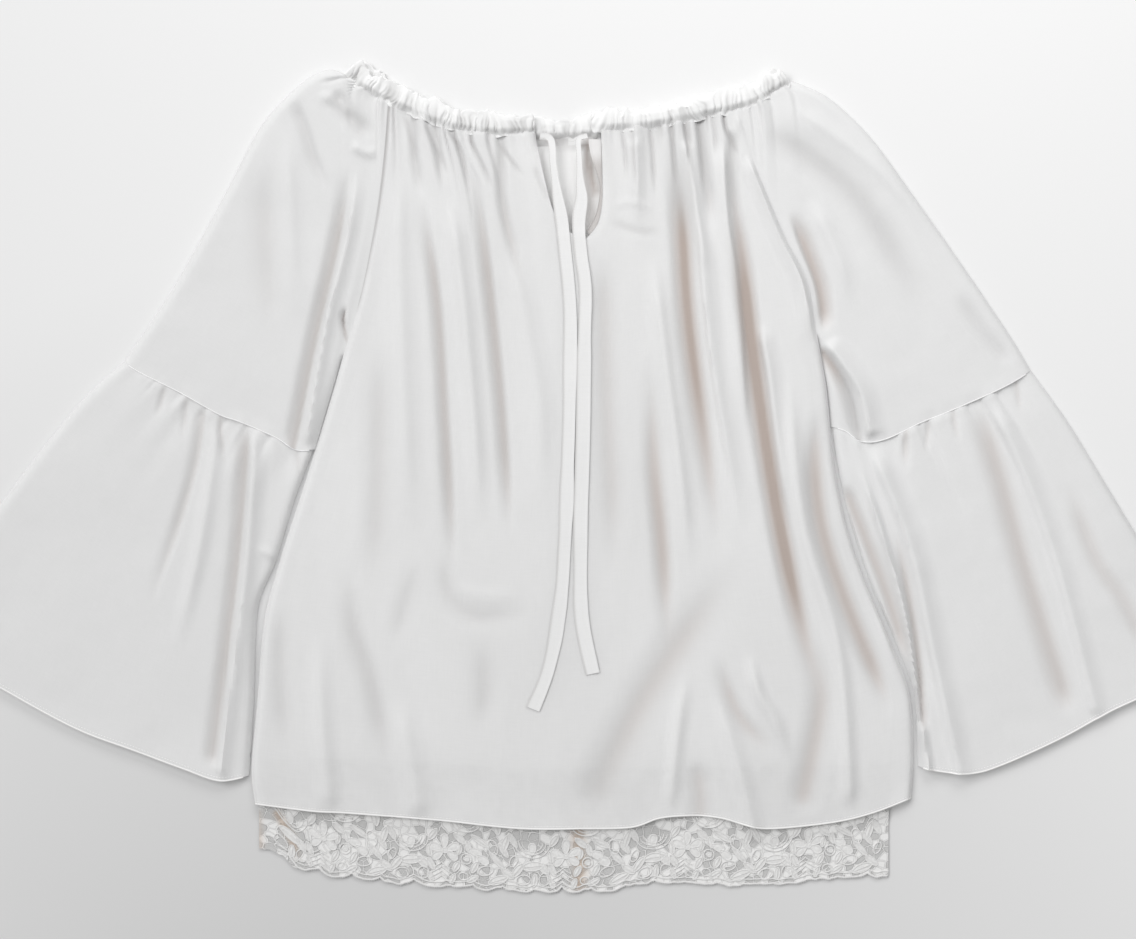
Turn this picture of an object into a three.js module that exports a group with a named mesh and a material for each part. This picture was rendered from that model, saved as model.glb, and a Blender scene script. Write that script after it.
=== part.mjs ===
// A loose off-shoulder blouse laid flat on its back: an elasticated neck in a gathered casing, a keyhole
// slit with two ties at the centre front, raglan sleeves that end in gathered bell flounces, and a
// lining whose lace border shows below the hem.
// Units are millimetres. +X runs to the right of the front as it is looked at, +Y from the hem to the
// neck, and +Z up from the table, which is at 0. Every piece that is cut and sewn is one closed wall.

import * as THREE from "three";

// Driving sizes
const WALL = 1.0;
const SEAM_GAP = 0.3;
const RAGLAN_GAP = 1.0;
const LAYER = WALL + SEAM_GAP;
const BODY_LENGTH = 590;
const SLEEVE_LENGTH = 300;

// Brings the middle of the whole outline to the origin
const CENTRE_SHIFT = 1.7;

// Heights above the table of the bottom faces of the layers that lie on each other at the body
const LINING_BACK_Z = LAYER;
const LINING_FRONT_Z = 2 * LAYER;
const FRONT_Z = 3 * LAYER;
const FRONT_LOWEST = FRONT_Z + WALL + SEAM_GAP;

// Heights of the front's upper skin, free of folds, and where it is sewn down along its sides
const FRONT_REST = { neck: 9, body: 7.6, hem: 6.4 };
const FRONT_EDGE = { neck: 9, armpit: 5, side: LAYER + WALL, roll: 10, armpitEase: 0.08 };

// The shares of the front's length over which its height goes from neck to body and from body to hem
const FRONT_EASE = { neck: 1 / 3, hem: 0.1 };
const NECK_GATHERS = { perHalf: 9, height: 1.3, reach: 45 };

// The sleeves and flounces are flat tubes: their back, the space inside, and their free height
const TUBE = { backTop: WALL, cavity: 0.7, edgeRoll: 12, seamRoll: 10, steepest: 1.15 };
const SLEEVE_REST = { neck: 8.5, middle: 6.2, cuff: 5.6 };
const SLEEVE_EASE = { neck: 0.4, cuff: 0.2 };
const FLOUNCE_REST = { seam: 5.6, hem: 5.2 };
const FLOUNCE_BACK_DROP = 4;
const CUFF_GATHERS = { count: 7, height: 0.9, reach: 25 };
const SLEEVE_OPEN_ROWS = 8;
const SLEEVE_OPEN_SHARE = 0.71;

// How far the lining and the back lie inside the front's sides, and the lining below the neck
const BACK_INSET = 1.6;
const LINING_INSET = 14;
const LINING_NECK_DROP = 6;
const CLEAR_OF_HEM = 3;

// The neck casing: an elastic in a gathered tunnel
const CASING = { width: 20, thickness: 6.2, gather: 1.1, gatherPitch: 7.5, backPitch: 16, sides: 8 };
const CASING_WAVES = [
  { height: 0.6, turn: 1.7, start: 0 },
  { height: 0.5, turn: 0.61, start: 1 },
];
const CASING_FRONT_Z = CASING.thickness + 2 * SEAM_GAP;

// The ties, which are narrow turned strips
const TIE = { width: 12, headWidth: 6, thickness: 1.0, lift: 0.8, sections: 34 };

// The shares of a tie's length over which it widens and comes down onto the front
const TIE_EASE = { widenFrom: 0.05, widenOver: 0.12, landed: 0.08 };
const TIE_HEAD_RISE = 2;

// The lace border, which repeats four scallops
const LACE = {
  scallopWidth: 25.75,
  scallopDepth: 5,
  scallops: 20.75,
  scallopsPerRepeat: 4,
  scallopSteps: 4,
  clearLeft: 22,
  clearRight: 14,
  backInset: 3,
};

// How many facets each piece gets
const FRONT_GRID = { columns: 26, rows: 20, rowPower: 1.35, slitRow: 5 };
const SLEEVE_GRID = { columns: 20, backColumns: 8, rows: 11 };
const FLOUNCE_GRID = { columns: 20, backColumns: 8, rows: 9 };
const EDGE_STEPS = 18;
const NECK_STEPS = 8;
const SLIT_STEPS = 5;
const HEM_STEPS = 9;

// Outlines, as x, y points down or along each edge
const SEAM_LINES = {
  neckLeft: [[-146, 312], [-132, 303], [-115, 295], [-98, 290], [-81, 286], [-60, 283], [-21, 285]],
  neckRight: [[35, 287], [55, 288], [77, 290], [98, 296], [123, 300], [153, 306]],
  slitLeft: [[-21, 285], [-13, 250], [-6, 224], [5, 207], [22, 199]],
  slitRight: [[35, 287], [36, 254], [36, 230], [32, 212], [22, 199]],
  centreFront: [[22, 199], [21, 60], [16, -120], [17, -301]],
  raglanLeft: [[-146, 312], [-149, 272], [-156, 218], [-168, 156], [-183, 103]],
  sideLeft: [
    [-183, 103], [-204, 33], [-222, -24], [-238, -74], [-251, -124], [-257, -192], [-262, -250],
    [-259, -280],
  ],
  raglanRight: [[153, 306], [161, 273], [177, 233], [192, 198], [209, 165], [217, 122]],
  sideRight: [
    [217, 122], [226, 76], [232, 16], [242, -39], [258, -88], [280, -141], [297, -186],
    [300, -240], [298, -275],
  ],
  hemLeft: [[-259, -280], [-212, -286], [-178, -288], [-102, -294], [-34, -301], [17, -301]],
  hemRight: [
    [17, -301], [60, -300], [85, -292], [112, -290], [136, -292], [158, -298], [179, -301],
    [230, -296], [264, -288], [298, -275],
  ],
};

const SLEEVE_LEFT = {
  neck: [[-146, 312], [-157, 316], [-173, 326], [-180, 334], [-185, 340]],
  inner: [[-146, 312], [-149, 272], [-156, 218], [-168, 156], [-183, 103], [-195, 63], [-207, 21]],
  outer: [
    [-185, 340], [-194, 344], [-205, 341], [-221, 331], [-253, 297], [-285, 237], [-327, 161],
    [-370, 96],
  ],
  cuff: [[-207, 21], [-224, 21], [-242, 32], [-272, 45], [-289, 51], [-323, 70], [-357, 87], [-370, 96]],
};
const FLOUNCE_LEFT = {
  cuff: [[-210, 19], [-224, 19], [-242, 31], [-272, 44], [-289, 50], [-323, 69], [-357, 86], [-371, 95]],
  inner: [[-210, 19], [-225, -22], [-241, -74], [-254, -104], [-258, -130], [-260, -192], [-264, -256]],
  outer: [[-371, 95], [-404, 65], [-442, 19], [-476, -26], [-506, -63], [-554, -117]],
  hem: [
    [-264, -256], [-289, -260], [-319, -250], [-365, -233], [-408, -217], [-459, -190],
    [-514, -156], [-554, -117],
  ],
};
const SLEEVE_RIGHT = {
  neck: [[153, 306], [169, 311], [182, 318], [193, 324], [203, 332]],
  inner: [[153, 306], [161, 273], [177, 233], [192, 198], [209, 165], [217, 122], [226, 76], [230, 40]],
  outer: [[203, 332], [229, 319], [263, 287], [297, 241], [340, 180], [382, 118], [400, 88]],
  cuff: [[230, 40], [242, 37], [256, 28], [276, 30], [306, 44], [331, 54], [374, 73], [400, 88]],
};
const FLOUNCE_RIGHT = {
  cuff: [[231, 39], [242, 36], [256, 27], [276, 29], [306, 43], [331, 53], [374, 72], [401, 87]],
  inner: [
    [231, 39], [236, 5], [246, -39], [262, -88], [284, -141], [300, -184], [303, -220],
    [304, -248],
  ],
  outer: [[401, 87], [433, 42], [467, -14], [490, -52], [518, -99], [554, -154]],
  hem: [
    [304, -248], [321, -252], [348, -254], [374, -247], [425, -224], [467, -201], [523, -175],
    [554, -154],
  ],
};

const CASING_LINES = {
  frontLeft: [
    [-176, 346], [-166, 335], [-151, 326], [-136, 319], [-119, 311], [-100, 304], [-81, 299],
    [-59, 296], [-38, 296], [-21, 297],
  ],
  frontRight: [
    [26, 299], [51, 300], [77, 302], [102, 307], [127, 312], [149, 317], [166, 323], [180, 331],
    [191, 338],
  ],
  back: [
    [-173, 343], [-150, 325], [-119, 310], [-81, 298], [-38, 293], [20, 294], [77, 301],
    [127, 311], [166, 322], [189, 336],
  ],
};

const TIE_LINES = {
  left: [
    [-17, 286], [-8, 283], [-5, 262], [-2, 235], [4, 200], [7, 139], [7, 76], [5, 3], [3, -60],
    [-1, -112], [-10, -166], [-23, -199],
  ],
  right: [
    [23, 287], [18, 283], [18, 250], [17, 212], [20, 185], [22, 150], [21, 80], [19, 0], [17, -80],
    [19, -125], [28, -169],
  ],
};

const LACE_LINES = {
  left: -255,
  top: [[-247, -243], [-195, -242], [-102, -246], [-51, -250], [34, -250], [204, -248], [279, -247]],
  bottom: [
    [-240, -318], [-223, -334], [-195, -342], [-144, -347], [-68, -353], [0, -356], [34, -355],
    [77, -347], [150, -349], [187, -349], [221, -345], [279, -342],
  ],
  corner: [[-247, -276], [-256, -286], [-255, -318], [-248, -309], [-240, -318]],
};

const SLIT_FACING = {
  gap: 0.8,
  top: 285,
  tipShare: 0.65,
  inner: [[24, 284], [24, 271], [31, 248], [32, 236], [30.5, 222], [25.5, 211], [22.5, 206]],
};

// Windows of net in one repeat of the lace, measured from its left scallop and its bottom edge
const LACE_WINDOWS = [
  { along: 14, above: 17, halfWidth: 6, halfHeight: 4.5, turn: 0.4 },
  { along: 34, above: 31, halfWidth: 5, halfHeight: 3.5, turn: -0.6 },
  { along: 45, above: 14, halfWidth: 4.5, halfHeight: 5.5, turn: 0.2 },
  { along: 66, above: 18, halfWidth: 6.5, halfHeight: 4, turn: -0.5 },
  { along: 84, above: 33, halfWidth: 5, halfHeight: 3.5, turn: 0.7 },
  { along: 93, above: 13, halfWidth: 4, halfHeight: 5, turn: -0.2 },
];
const WINDOW_POINTS = 6;

// The folds of each piece: x0, y0 to x3, y3 run down the fold, west and east are its half widths on
// either side, rise is the height it adds, or takes off if it is a trough, and head and tail are the
// shares of its length over which it comes and goes.
const FOLD_COLUMNS = [
  ..."x0 y0 x1 y1 x2 y2 x3 y3".split(" "),
  ..."west east rise head tail".split(" "),
];

const FRONT_FOLDS = [
  // troughs, left of the ties
  [-142, 309, -145, 285, -148, 265, -152, 240, 3, 4, -2.0, 0.0, 0.5],
  [-130, 301, -115, 233, -101, 131, -89, -43, 15, 8, -5.0, 0.1, 0.3],
  [-83, 282, -62, 199, -54, 110, -40, -45, 13, 7, -5.0, 0.1, 0.35],
  [-72, 283, -55, 243, -48, 199, -25, 131, 5, 7, -2.5, 0.0, 0.5],
  [-51, 283, -34, 263, -19, 243, -8, 215, 6, 5, -2.5, 0.0, 0.4],
  [-112, 294, -103, 267, -93, 243, -86, 215, 6, 6, -2.5, 0.0, 0.5],
  [-150, 114, -153, 46, -155, -39, -160, -107, 20, 12, -2.5, 0.3, 0.3],
  [-170, -60, -172, -124, -160, -175, -146, -255, 16, 7, -4.5, 0.3, 0.3],
  [-235, -110, -237, -160, -235, -200, -230, -240, 12, 12, -2.0, 0.3, 0.3],
  [-99, -66, -93, -103, -70, -121, -20, -116, 9, 10, -4.5, 0.25, 0.4],
  [-68, -138, -64, -170, -62, -195, -63, -218, 11, 11, -3.0, 0.4, 0.4],
  [-117, -70, -127, -100, -134, -125, -138, -152, 10, 10, -2.0, 0.4, 0.4],
  // ridges, left of the ties
  [-136, 270, -136, 190, -132, 60, -126, -60, 20, 18, 4.0, 0.2, 0.3],
  [-94, 240, -79, 148, -72, 46, -66, -50, 15, 14, 5.0, 0.15, 0.3],
  [-40, 200, -26, 130, -16, 60, -13, -40, 22, 18, 3.0, 0.2, 0.4],
  [-88, -90, -78, -100, -58, -104, -30, -102, 8, 9, 2.5, 0.3, 0.4],
  [-136, -185, -132, -215, -126, -245, -119, -292, 18, 18, 3.5, 0.4, 0.1],
  [-204, -130, -203, -180, -200, -230, -195, -288, 15, 15, 3.5, 0.4, 0.1],
  // troughs, right of the ties
  [94, 294, 106, 215, 115, 110, 138, -60, 15, 7, -7.0, 0.1, 0.3],
  [119, 298, 122, 262, 127, 225, 131, 195, 5, 6, -3.0, 0.0, 0.4],
  [143, 302, 146, 284, 142, 263, 141, 238, 4, 5, -3.0, 0.0, 0.4],
  [155, 205, 169, 63, 191, -52, 219, -200, 16, 7, -8.0, 0.15, 0.15],
  [82, 70, 82, 3, 86, -65, 92, -140, 9, 7, -5.0, 0.25, 0.2],
  [37, 195, 39, 80, 44, -22, 44, -95, 16, 16, -2.5, 0.2, 0.3],
  [157, -60, 118, -120, 62, -190, 20, -290, 20, 22, -4.0, 0.3, 0.1],
  [134, -162, 142, -188, 155, -211, 169, -234, 8, 7, -4.5, 0.3, 0.3],
  [217, 37, 223, -22, 242, -90, 272, -185, 9, 9, -4.0, 0.3, 0.3],
  [115, -240, 118, -260, 119, -275, 119, -292, 14, 14, -2.5, 0.4, 0.0],
  [214, -205, 210, -235, 205, -260, 198, -298, 12, 12, -3.0, 0.3, 0.0],
  // ridges, right of the ties
  [62, 285, 64, 260, 65, 235, 66, 205, 10, 10, 2.5, 0.1, 0.5],
  [106, 285, 113, 233, 123, 182, 137, 110, 8, 10, 4.0, 0.1, 0.4],
  [141, 240, 151, 150, 158, 60, 180, -62, 22, 6, 6.0, 0.2, 0.3],
  [79, 190, 90, 90, 104, 3, 112, -90, 16, 14, 5.0, 0.2, 0.3],
  [174, 233, 190, 173, 197, 114, 205, 30, 14, 12, 4.0, 0.2, 0.3],
  [183, 90, 200, -45, 236, -155, 241, -290, 13, 12, 7.0, 0.2, 0.05],
  [234, 5, 247, -48, 268, -108, 290, -185, 9, 8, 3.5, 0.2, 0.3],
  [160, -150, 168, -184, 183, -210, 198, -245, 10, 9, 4.0, 0.3, 0.4],
  [129, -180, 143, -222, 155, -264, 163, -300, 10, 13, 5.0, 0.4, 0.0],
  [110, -158, 102, -201, 97, -243, 93, -290, 11, 11, 2.5, 0.4, 0.2],
];

const SLEEVE_LEFT_FOLDS = [
  [-170, 262, -182, 195, -199, 127, -218, 22, 6, 14, 4.5, 0.2, 0.0],
  [-184, 232, -195, 180, -211, 120, -228, 28, 14, 4, -2.5, 0.2, 0.1],
  [-223, 322, -217, 292, -207, 263, -193, 228, 9, 7, -3.5, 0.1, 0.4],
  [-179, 312, -178, 298, -170, 288, -160, 283, 9, 8, -3.0, 0.3, 0.3],
  [-253, 245, -251, 205, -246, 165, -240, 130, 14, 14, -2.0, 0.3, 0.4],
  [-231, 296, -229, 240, -227, 190, -224, 130, 15, 15, 2.0, 0.3, 0.4],
  [-182, 337, -190, 334, -198, 333, -206, 333, 3, 3, -1.5, 0.0, 0.5],
];
const FLOUNCE_LEFT_FOLDS = [
  [-257, 40, -258, -10, -266, -110, -284, -258, 6, 15, 5.5, 0.1, 0.0],
  [-272, 40, -275, -39, -282, -120, -301, -250, 13, 5, -3.0, 0.1, 0.1],
  [-305, 58, -307, 25, -322, -40, -354, -141, 10, 5, -2.5, 0.0, 0.5],
  [-296, 50, -299, -5, -311, -75, -330, -160, 12, 13, 3.0, 0.1, 0.4],
  [-289, 48, -288, 36, -286, 24, -285, 10, 4, 4, -1.5, 0.0, 0.6],
  [-317, 64, -318, 52, -319, 40, -321, 28, 4, 4, -1.5, 0.0, 0.6],
  [-336, 74, -337, 66, -339, 58, -341, 50, 4, 4, -1.5, 0.0, 0.6],
  [-224, 19, -222, 10, -220, 2, -217, -6, 4, 4, -1.5, 0.0, 0.6],
  [-258, -64, -250, -66, -244, -70, -240, -73, 6, 6, 1.5, 0.4, 0.3],
];
const SLEEVE_RIGHT_FOLDS = [
  [174, 296, 204, 268, 248, 242, 322, 135, 16, 16, -3.0, 0.2, 0.4],
  [180, 312, 221, 290, 272, 254, 318, 195, 13, 14, 2.5, 0.2, 0.4],
  [336, 156, 350, 134, 364, 114, 384, 92, 12, 12, -1.8, 0.3, 0.2],
  [189, 214, 203, 192, 213, 168, 219, 138, 5, 9, -3.0, 0.3, 0.3],
  [228, 112, 246, 88, 262, 60, 268, 30, 6, 16, 4.0, 0.2, 0.0],
  [224, 99, 240, 76, 249, 52, 252, 34, 10, 4, -2.0, 0.2, 0.1],
];
const FLOUNCE_RIGHT_FOLDS = [
  [351, 62, 372, -8, 402, -85, 435, -218, 10, 8, -4.0, 0.1, 0.05],
  [361, 62, 399, -5, 438, -82, 464, -198, 12, 14, 4.5, 0.1, 0.0],
  [429, -5, 455, -73, 480, -111, 503, -160, 12, 12, -2.5, 0.3, 0.2],
  [243, 12, 262, -35, 284, -92, 319, -250, 5, 6, 4.5, 0.2, 0.0],
  [284, -85, 302, -141, 314, -188, 325, -250, 4, 4, -3.5, 0.3, 0.0],
  [258, 26, 274, -36, 308, -145, 337, -252, 6, 18, 4.5, 0.1, 0.0],
  [293, 38, 293, 28, 292, 18, 291, 8, 4, 4, -1.5, 0.0, 0.6],
  [312, 45, 312, 36, 311, 28, 310, 20, 4, 4, -1.2, 0.0, 0.6],
  [387, 79, 388, 70, 390, 60, 391, 52, 4, 4, -1.5, 0.0, 0.6],
];

const CLOTH_COLOUR = 0xf1f0ed;
const LACE_COLOUR = 0xf4f2ee;

const clamp = THREE.MathUtils.clamp;
const smooth = (t) => THREE.MathUtils.smoothstep(t, 0, 1);
const mix = THREE.MathUtils.lerp;

/** A smooth line through points, read by its share of length from 0 to 1. */
function line(points) {
  const curve = new THREE.SplineCurve(points.map(([x, y]) => new THREE.Vector2(x, y)));
  return (share) => curve.getPointAt(clamp(share, 0, 1));
}

/** Two lines end to end, with the join at the given share. */
function joined(first, second, share) {
  return (t) => (t < share ? first(t / share) : second((t - share) / (1 - share)));
}

/** The sheet between four edge lines: u runs across from left to right and v down from top to bottom. */
function sheetBetween({ top, bottom, left, right }) {
  const corners = [top(0), top(1), bottom(0), bottom(1)];
  const blend = (u, v, key, [a, b, c, d]) => {
    const across = mix(left(v)[key], right(v)[key], u);
    const down = mix(top(u)[key], bottom(u)[key], v);
    return across + down - mix(mix(a[key], b[key], u), mix(c[key], d[key], u), v);
  };
  return (u, v) => [blend(u, v, "x", corners), blend(u, v, "y", corners)];
}

/** One fold as a function of x and y, from its row of the table. */
function foldOf(row) {
  const fold = Object.fromEntries(FOLD_COLUMNS.map((name, i) => [name, row[i]]));
  const path = line([[fold.x0, fold.y0], [fold.x1, fold.y1], [fold.x2, fold.y2], [fold.x3, fold.y3]]);
  const steps = 16;
  const spots = Array.from({ length: steps + 1 }, (_, i) => path(i / steps));
  return (x, y) => {
    let nearest = { away: Infinity, side: 1, share: 0 };
    for (let i = 0; i < steps; i++) {
      const along = spots[i + 1].clone().sub(spots[i]);
      const from = new THREE.Vector2(x, y).sub(spots[i]);
      const t = clamp(from.dot(along) / along.lengthSq(), 0, 1);
      const away = from.clone().sub(along.clone().multiplyScalar(t)).length();
      const side = Math.sign(along.cross(from)) || 1;
      if (away < nearest.away) nearest = { away, side, share: (i + t) / steps };
    }
    const reach = nearest.side > 0 ? fold.east : fold.west;
    if (nearest.away >= reach) return 0;
    const coming = fold.head > 0 ? smooth(nearest.share / fold.head) : 1;
    const going = fold.tail > 0 ? smooth((1 - nearest.share) / fold.tail) : 1;
    return fold.rise * coming * going * 0.5 * (1 + Math.cos((Math.PI * nearest.away) / reach));
  };
}

/** The sum of a table of folds as a function of x and y. */
function foldsOf(table) {
  const folds = table.map(foldOf);
  return (x, y) => folds.reduce((sum, fold) => sum + fold(x, y), 0);
}

/** Keeps a height above a floor, with a soft corner between the two. */
const softFloor = (height, floor, softness = 1.2) =>
  floor + softness * Math.log1p(Math.exp((height - floor) / softness));

/**
 * A closed wall from an outer and an inner skin that share their quads. Each quad is listed
 * anticlockwise as it is seen from outside, and every free edge gets a rim.
 */
function closedWall(outer, inner, quads) {
  const count = outer.length;
  const triangles = [];
  const edges = new Map();
  const face = (a, b, c) => triangles.push(a, b, c);
  for (const [a, b, c, d] of quads) {
    face(a, b, c);
    face(a, c, d);
    face(count + c, count + b, count + a);
    face(count + d, count + c, count + a);
    for (const [from, to] of [[a, b], [b, c], [c, d], [d, a]]) edges.set(from + "," + to, [from, to]);
  }
  for (const [from, to] of edges.values()) {
    if (edges.has(to + "," + from)) continue;
    face(to, from, count + from);
    face(to, count + from, count + to);
  }
  const geometry = new THREE.BufferGeometry();
  geometry.setAttribute("position", new THREE.Float32BufferAttribute([...outer, ...inner].flat(), 3));
  geometry.setIndex(triangles);
  return geometry;
}

const rowShare = (row) => (row / FRONT_GRID.rows) ** FRONT_GRID.rowPower;
const slitShare = rowShare(FRONT_GRID.slitRow);

/** The share of the left or right edge of the body at which the raglan seam ends in the armpit. */
const RAGLAN_SHARE = { left: 0.35, right: 0.33 };

/** The height of the front's upper skin where it is sewn to the sleeve or to the back, down its side. */
function frontEdgeHeight(v, raglanShare) {
  const { neck, armpit, side } = FRONT_EDGE;
  if (v < raglanShare) return mix(neck, armpit, smooth(v / raglanShare));
  return mix(armpit, side, smooth((v - raglanShare) / FRONT_EDGE.armpitEase));
}

const frontFolds = foldsOf(FRONT_FOLDS);

/** The small gathers that the casing draws up, which die out below it. */
function neckGathers(u, down) {
  const { perHalf, height, reach } = NECK_GATHERS;
  return height * Math.cos(2 * Math.PI * perHalf * u) * Math.exp(-((down / reach) ** 2));
}

/** The height of the front's upper skin at a point of a half, at a distance from its side. */
function frontHeight({ x, y, u, v, fromSide, raglanShare }) {
  const { neck, body, hem } = FRONT_REST;
  const nearHem = smooth((v - (1 - FRONT_EASE.hem)) / FRONT_EASE.hem);
  const rest = mix(mix(neck, body, smooth(v / FRONT_EASE.neck)), hem, nearHem);
  const folded = softFloor(rest + frontFolds(x, y) + neckGathers(u, v * BODY_LENGTH), FRONT_LOWEST);
  return mix(frontEdgeHeight(v, raglanShare), folded, smooth(fromSide / FRONT_EDGE.roll));
}

/** The two halves of the front, left and right, which part at the slit and are one below it. */
function frontHalves() {
  const centre = line(SEAM_LINES.centreFront);
  const slitEdge = (points) => joined(line(points), centre, slitShare);
  const bodyEdge = (raglan, side, share) => joined(line(raglan), line(side), share);
  const { neckLeft, neckRight, slitLeft, slitRight, hemLeft, hemRight } = SEAM_LINES;
  const left = sheetBetween({
    top: line(neckLeft),
    bottom: line(hemLeft),
    left: bodyEdge(SEAM_LINES.raglanLeft, SEAM_LINES.sideLeft, RAGLAN_SHARE.left),
    right: slitEdge(slitLeft),
  });
  const right = sheetBetween({
    top: line(neckRight),
    bottom: line(hemRight),
    left: slitEdge(slitRight),
    right: bodyEdge(SEAM_LINES.raglanRight, SEAM_LINES.sideRight, RAGLAN_SHARE.right),
  });
  return [
    { sheet: left, sideU: 0, raglanShare: RAGLAN_SHARE.left },
    { sheet: right, sideU: 1, raglanShare: RAGLAN_SHARE.right },
  ];
}
const FRONT_HALVES = frontHalves();

/** A point of the front's upper skin. */
function frontPoint({ sheet, sideU, raglanShare }, u, v) {
  const [x, y] = sheet(u, v);
  const [sideX, sideY] = sheet(sideU, v);
  const fromSide = Math.hypot(x - sideX, y - sideY);
  return [x, y, frontHeight({ x, y, u, v, fromSide, raglanShare })];
}

/** The skin a wall's thickness below a grid of points, lower where the grid is steep across. */
function underSkin(upper, columns) {
  const steepest = 1.6;
  return upper.map(([x, y, z], index) => {
    const column = index % columns;
    const before = upper[column > 0 ? index - 1 : index];
    const beside = upper[column < columns - 1 ? index + 1 : index];
    const run = Math.max(Math.hypot(beside[0] - before[0], beside[1] - before[1]), 1);
    const slope = (beside[2] - before[2]) / run;
    return [x, y, z - WALL * Math.min(Math.hypot(1, slope), steepest)];
  });
}

/** The front: one cloth from side to side with the slit in it. */
function frontGeometry() {
  const half = FRONT_GRID.columns + 1;
  const columns = 2 * half;
  const upper = [];
  for (let row = 0; row <= FRONT_GRID.rows; row++)
    for (const side of FRONT_HALVES)
      for (let column = 0; column < half; column++)
        upper.push(frontPoint(side, column / FRONT_GRID.columns, rowShare(row)));
  const lower = underSkin(upper, columns);
  // Below the slit the two middle columns are the same points
  const belowSlit = (row) => row >= FRONT_GRID.slitRow;
  const index = (row, column) => row * columns + (belowSlit(row) && column === half ? half - 1 : column);
  const quads = [];
  for (let row = 0; row < FRONT_GRID.rows; row++)
    for (let column = 0; column < columns - 1; column++) {
      if (column === half - 1) continue;
      const [above, below] = [row, row + 1];
      quads.push([
        index(above, column),
        index(below, column),
        index(below, column + 1),
        index(above, column + 1),
      ]);
    }
  return compacted(upper, lower, quads);
}

/** The wall without the points that no quad uses. */
function compacted(outer, inner, quads) {
  const used = [...new Set(quads.flat())].sort((a, b) => a - b);
  const place = new Map(used.map((old, now) => [old, now]));
  return closedWall(
    used.map((i) => outer[i]),
    used.map((i) => inner[i]),
    quads.map((quad) => quad.map((i) => place.get(i))),
  );
}

/** The height of a flat tube's upper skin: free in the middle and rolled down at both edges. */
function tubeHeight(free, fromInner, fromOuter, seamHeight) {
  const edge = TUBE.backTop + TUBE.cavity + WALL + SEAM_GAP;
  const rolled = mix(edge, softFloor(free, edge), smooth(fromOuter / TUBE.edgeRoll));
  return mix(seamHeight ?? edge, rolled, smooth(fromInner / TUBE.seamRoll));
}

/** The small gathers that a cuff's seam draws up, which die out below it. */
function cuffGathers(u, v) {
  const { count, height, reach } = CUFF_GATHERS;
  return height * Math.cos(2 * Math.PI * count * u) * Math.exp(-(((v * SLEEVE_LENGTH) / reach) ** 2));
}

/**
 * A sleeve or flounce lying flat: its cloth runs across the top from the inner edge to the outer
 * fold and back underneath. Down to openRows it is open on the inner side, where the body goes on.
 */
function flatTube({ outline, folds, grid, free, seamHeight, shift = 0, openRows = 0, backDrop = 0 }) {
  const sheet = sheetBetween({
    top: line(outline.neck ?? outline.cuff),
    bottom: line(outline.hem ?? outline.cuff),
    left: line(outline.inner.map(([x, y]) => [x + shift, y])),
    right: line(outline.outer),
  });
  const fold = foldsOf(folds);
  const ring = grid.columns + grid.backColumns + 2;
  const outer = [];
  const inner = [];
  for (let row = 0; row <= grid.rows; row++) {
    const v = row / grid.rows;
    const [[ax, ay], [bx, by]] = [sheet(0, v), sheet(1, v)];
    const width = Math.hypot(bx - ax, by - ay);
    const inset = WALL / width;
    for (let step = 0; step < ring; step++) {
      const onTop = step <= grid.columns;
      const u = onTop ? step / grid.columns : 1 - (step - grid.columns - 1) / grid.backColumns;
      const uInside = clamp(u, row < openRows ? 0 : inset, 1 - inset);
      if (!onTop) {
        const inLastQuarter = smooth(4 * v - 3);
        const vBack = v + (backDrop / SLEEVE_LENGTH) * inLastQuarter;
        outer.push([...sheet(u, vBack), 0]);
        inner.push([...sheet(uInside, vBack), TUBE.backTop]);
        continue;
      }
      const [x, y] = sheet(u, v);
      const height = tubeHeight(free(u, v) + fold(x, y), u * width, (1 - u) * width, seamHeight?.(v));
      outer.push([x, y, height]);
      const inside = Math.max(height - WALL * TUBE.steepest, TUBE.backTop + TUBE.cavity);
      inner.push([...sheet(uInside, v), inside]);
    }
  }
  const quads = [];
  for (let row = 0; row < grid.rows; row++)
    for (let step = 0; step < ring; step++) {
      const next = (step + 1) % ring;
      if (next === 0 && row < openRows) continue;
      const [a, b] = [row * ring, (row + 1) * ring];
      quads.push([a + step, a + next, b + next, b + step]);
    }
  const runsRight = outline.outer[0][0] > outline.inner[0][0];
  return closedWall(outer, inner, runsRight ? quads.map((quad) => quad.reverse()) : quads);
}

/** A flat layer from an outline, with holes if it has any. */
function flatLayer(points, z, holes = []) {
  const vectors = (outline) => outline.map(([x, y]) => new THREE.Vector2(x, y));
  const shape = new THREE.Shape(vectors(points));
  for (const hole of holes) shape.holes.push(new THREE.Path(vectors(hole)));
  const geometry = new THREE.ExtrudeGeometry(shape, { depth: WALL, bevelEnabled: false });
  return geometry.translate(0, 0, z);
}

/** Points along a line, moved to its right by an inset, without the last one. */
function walked(points, steps, inset = 0) {
  const path = line(points);
  const spots = Array.from({ length: steps + 1 }, (_, i) => path(i / steps));
  return spots.slice(0, -1).map((spot, i) => {
    const along = spots[i + 1].clone().sub(spot).normalize();
    return [spot.x + along.y * inset, spot.y - along.x * inset];
  });
}

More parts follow.
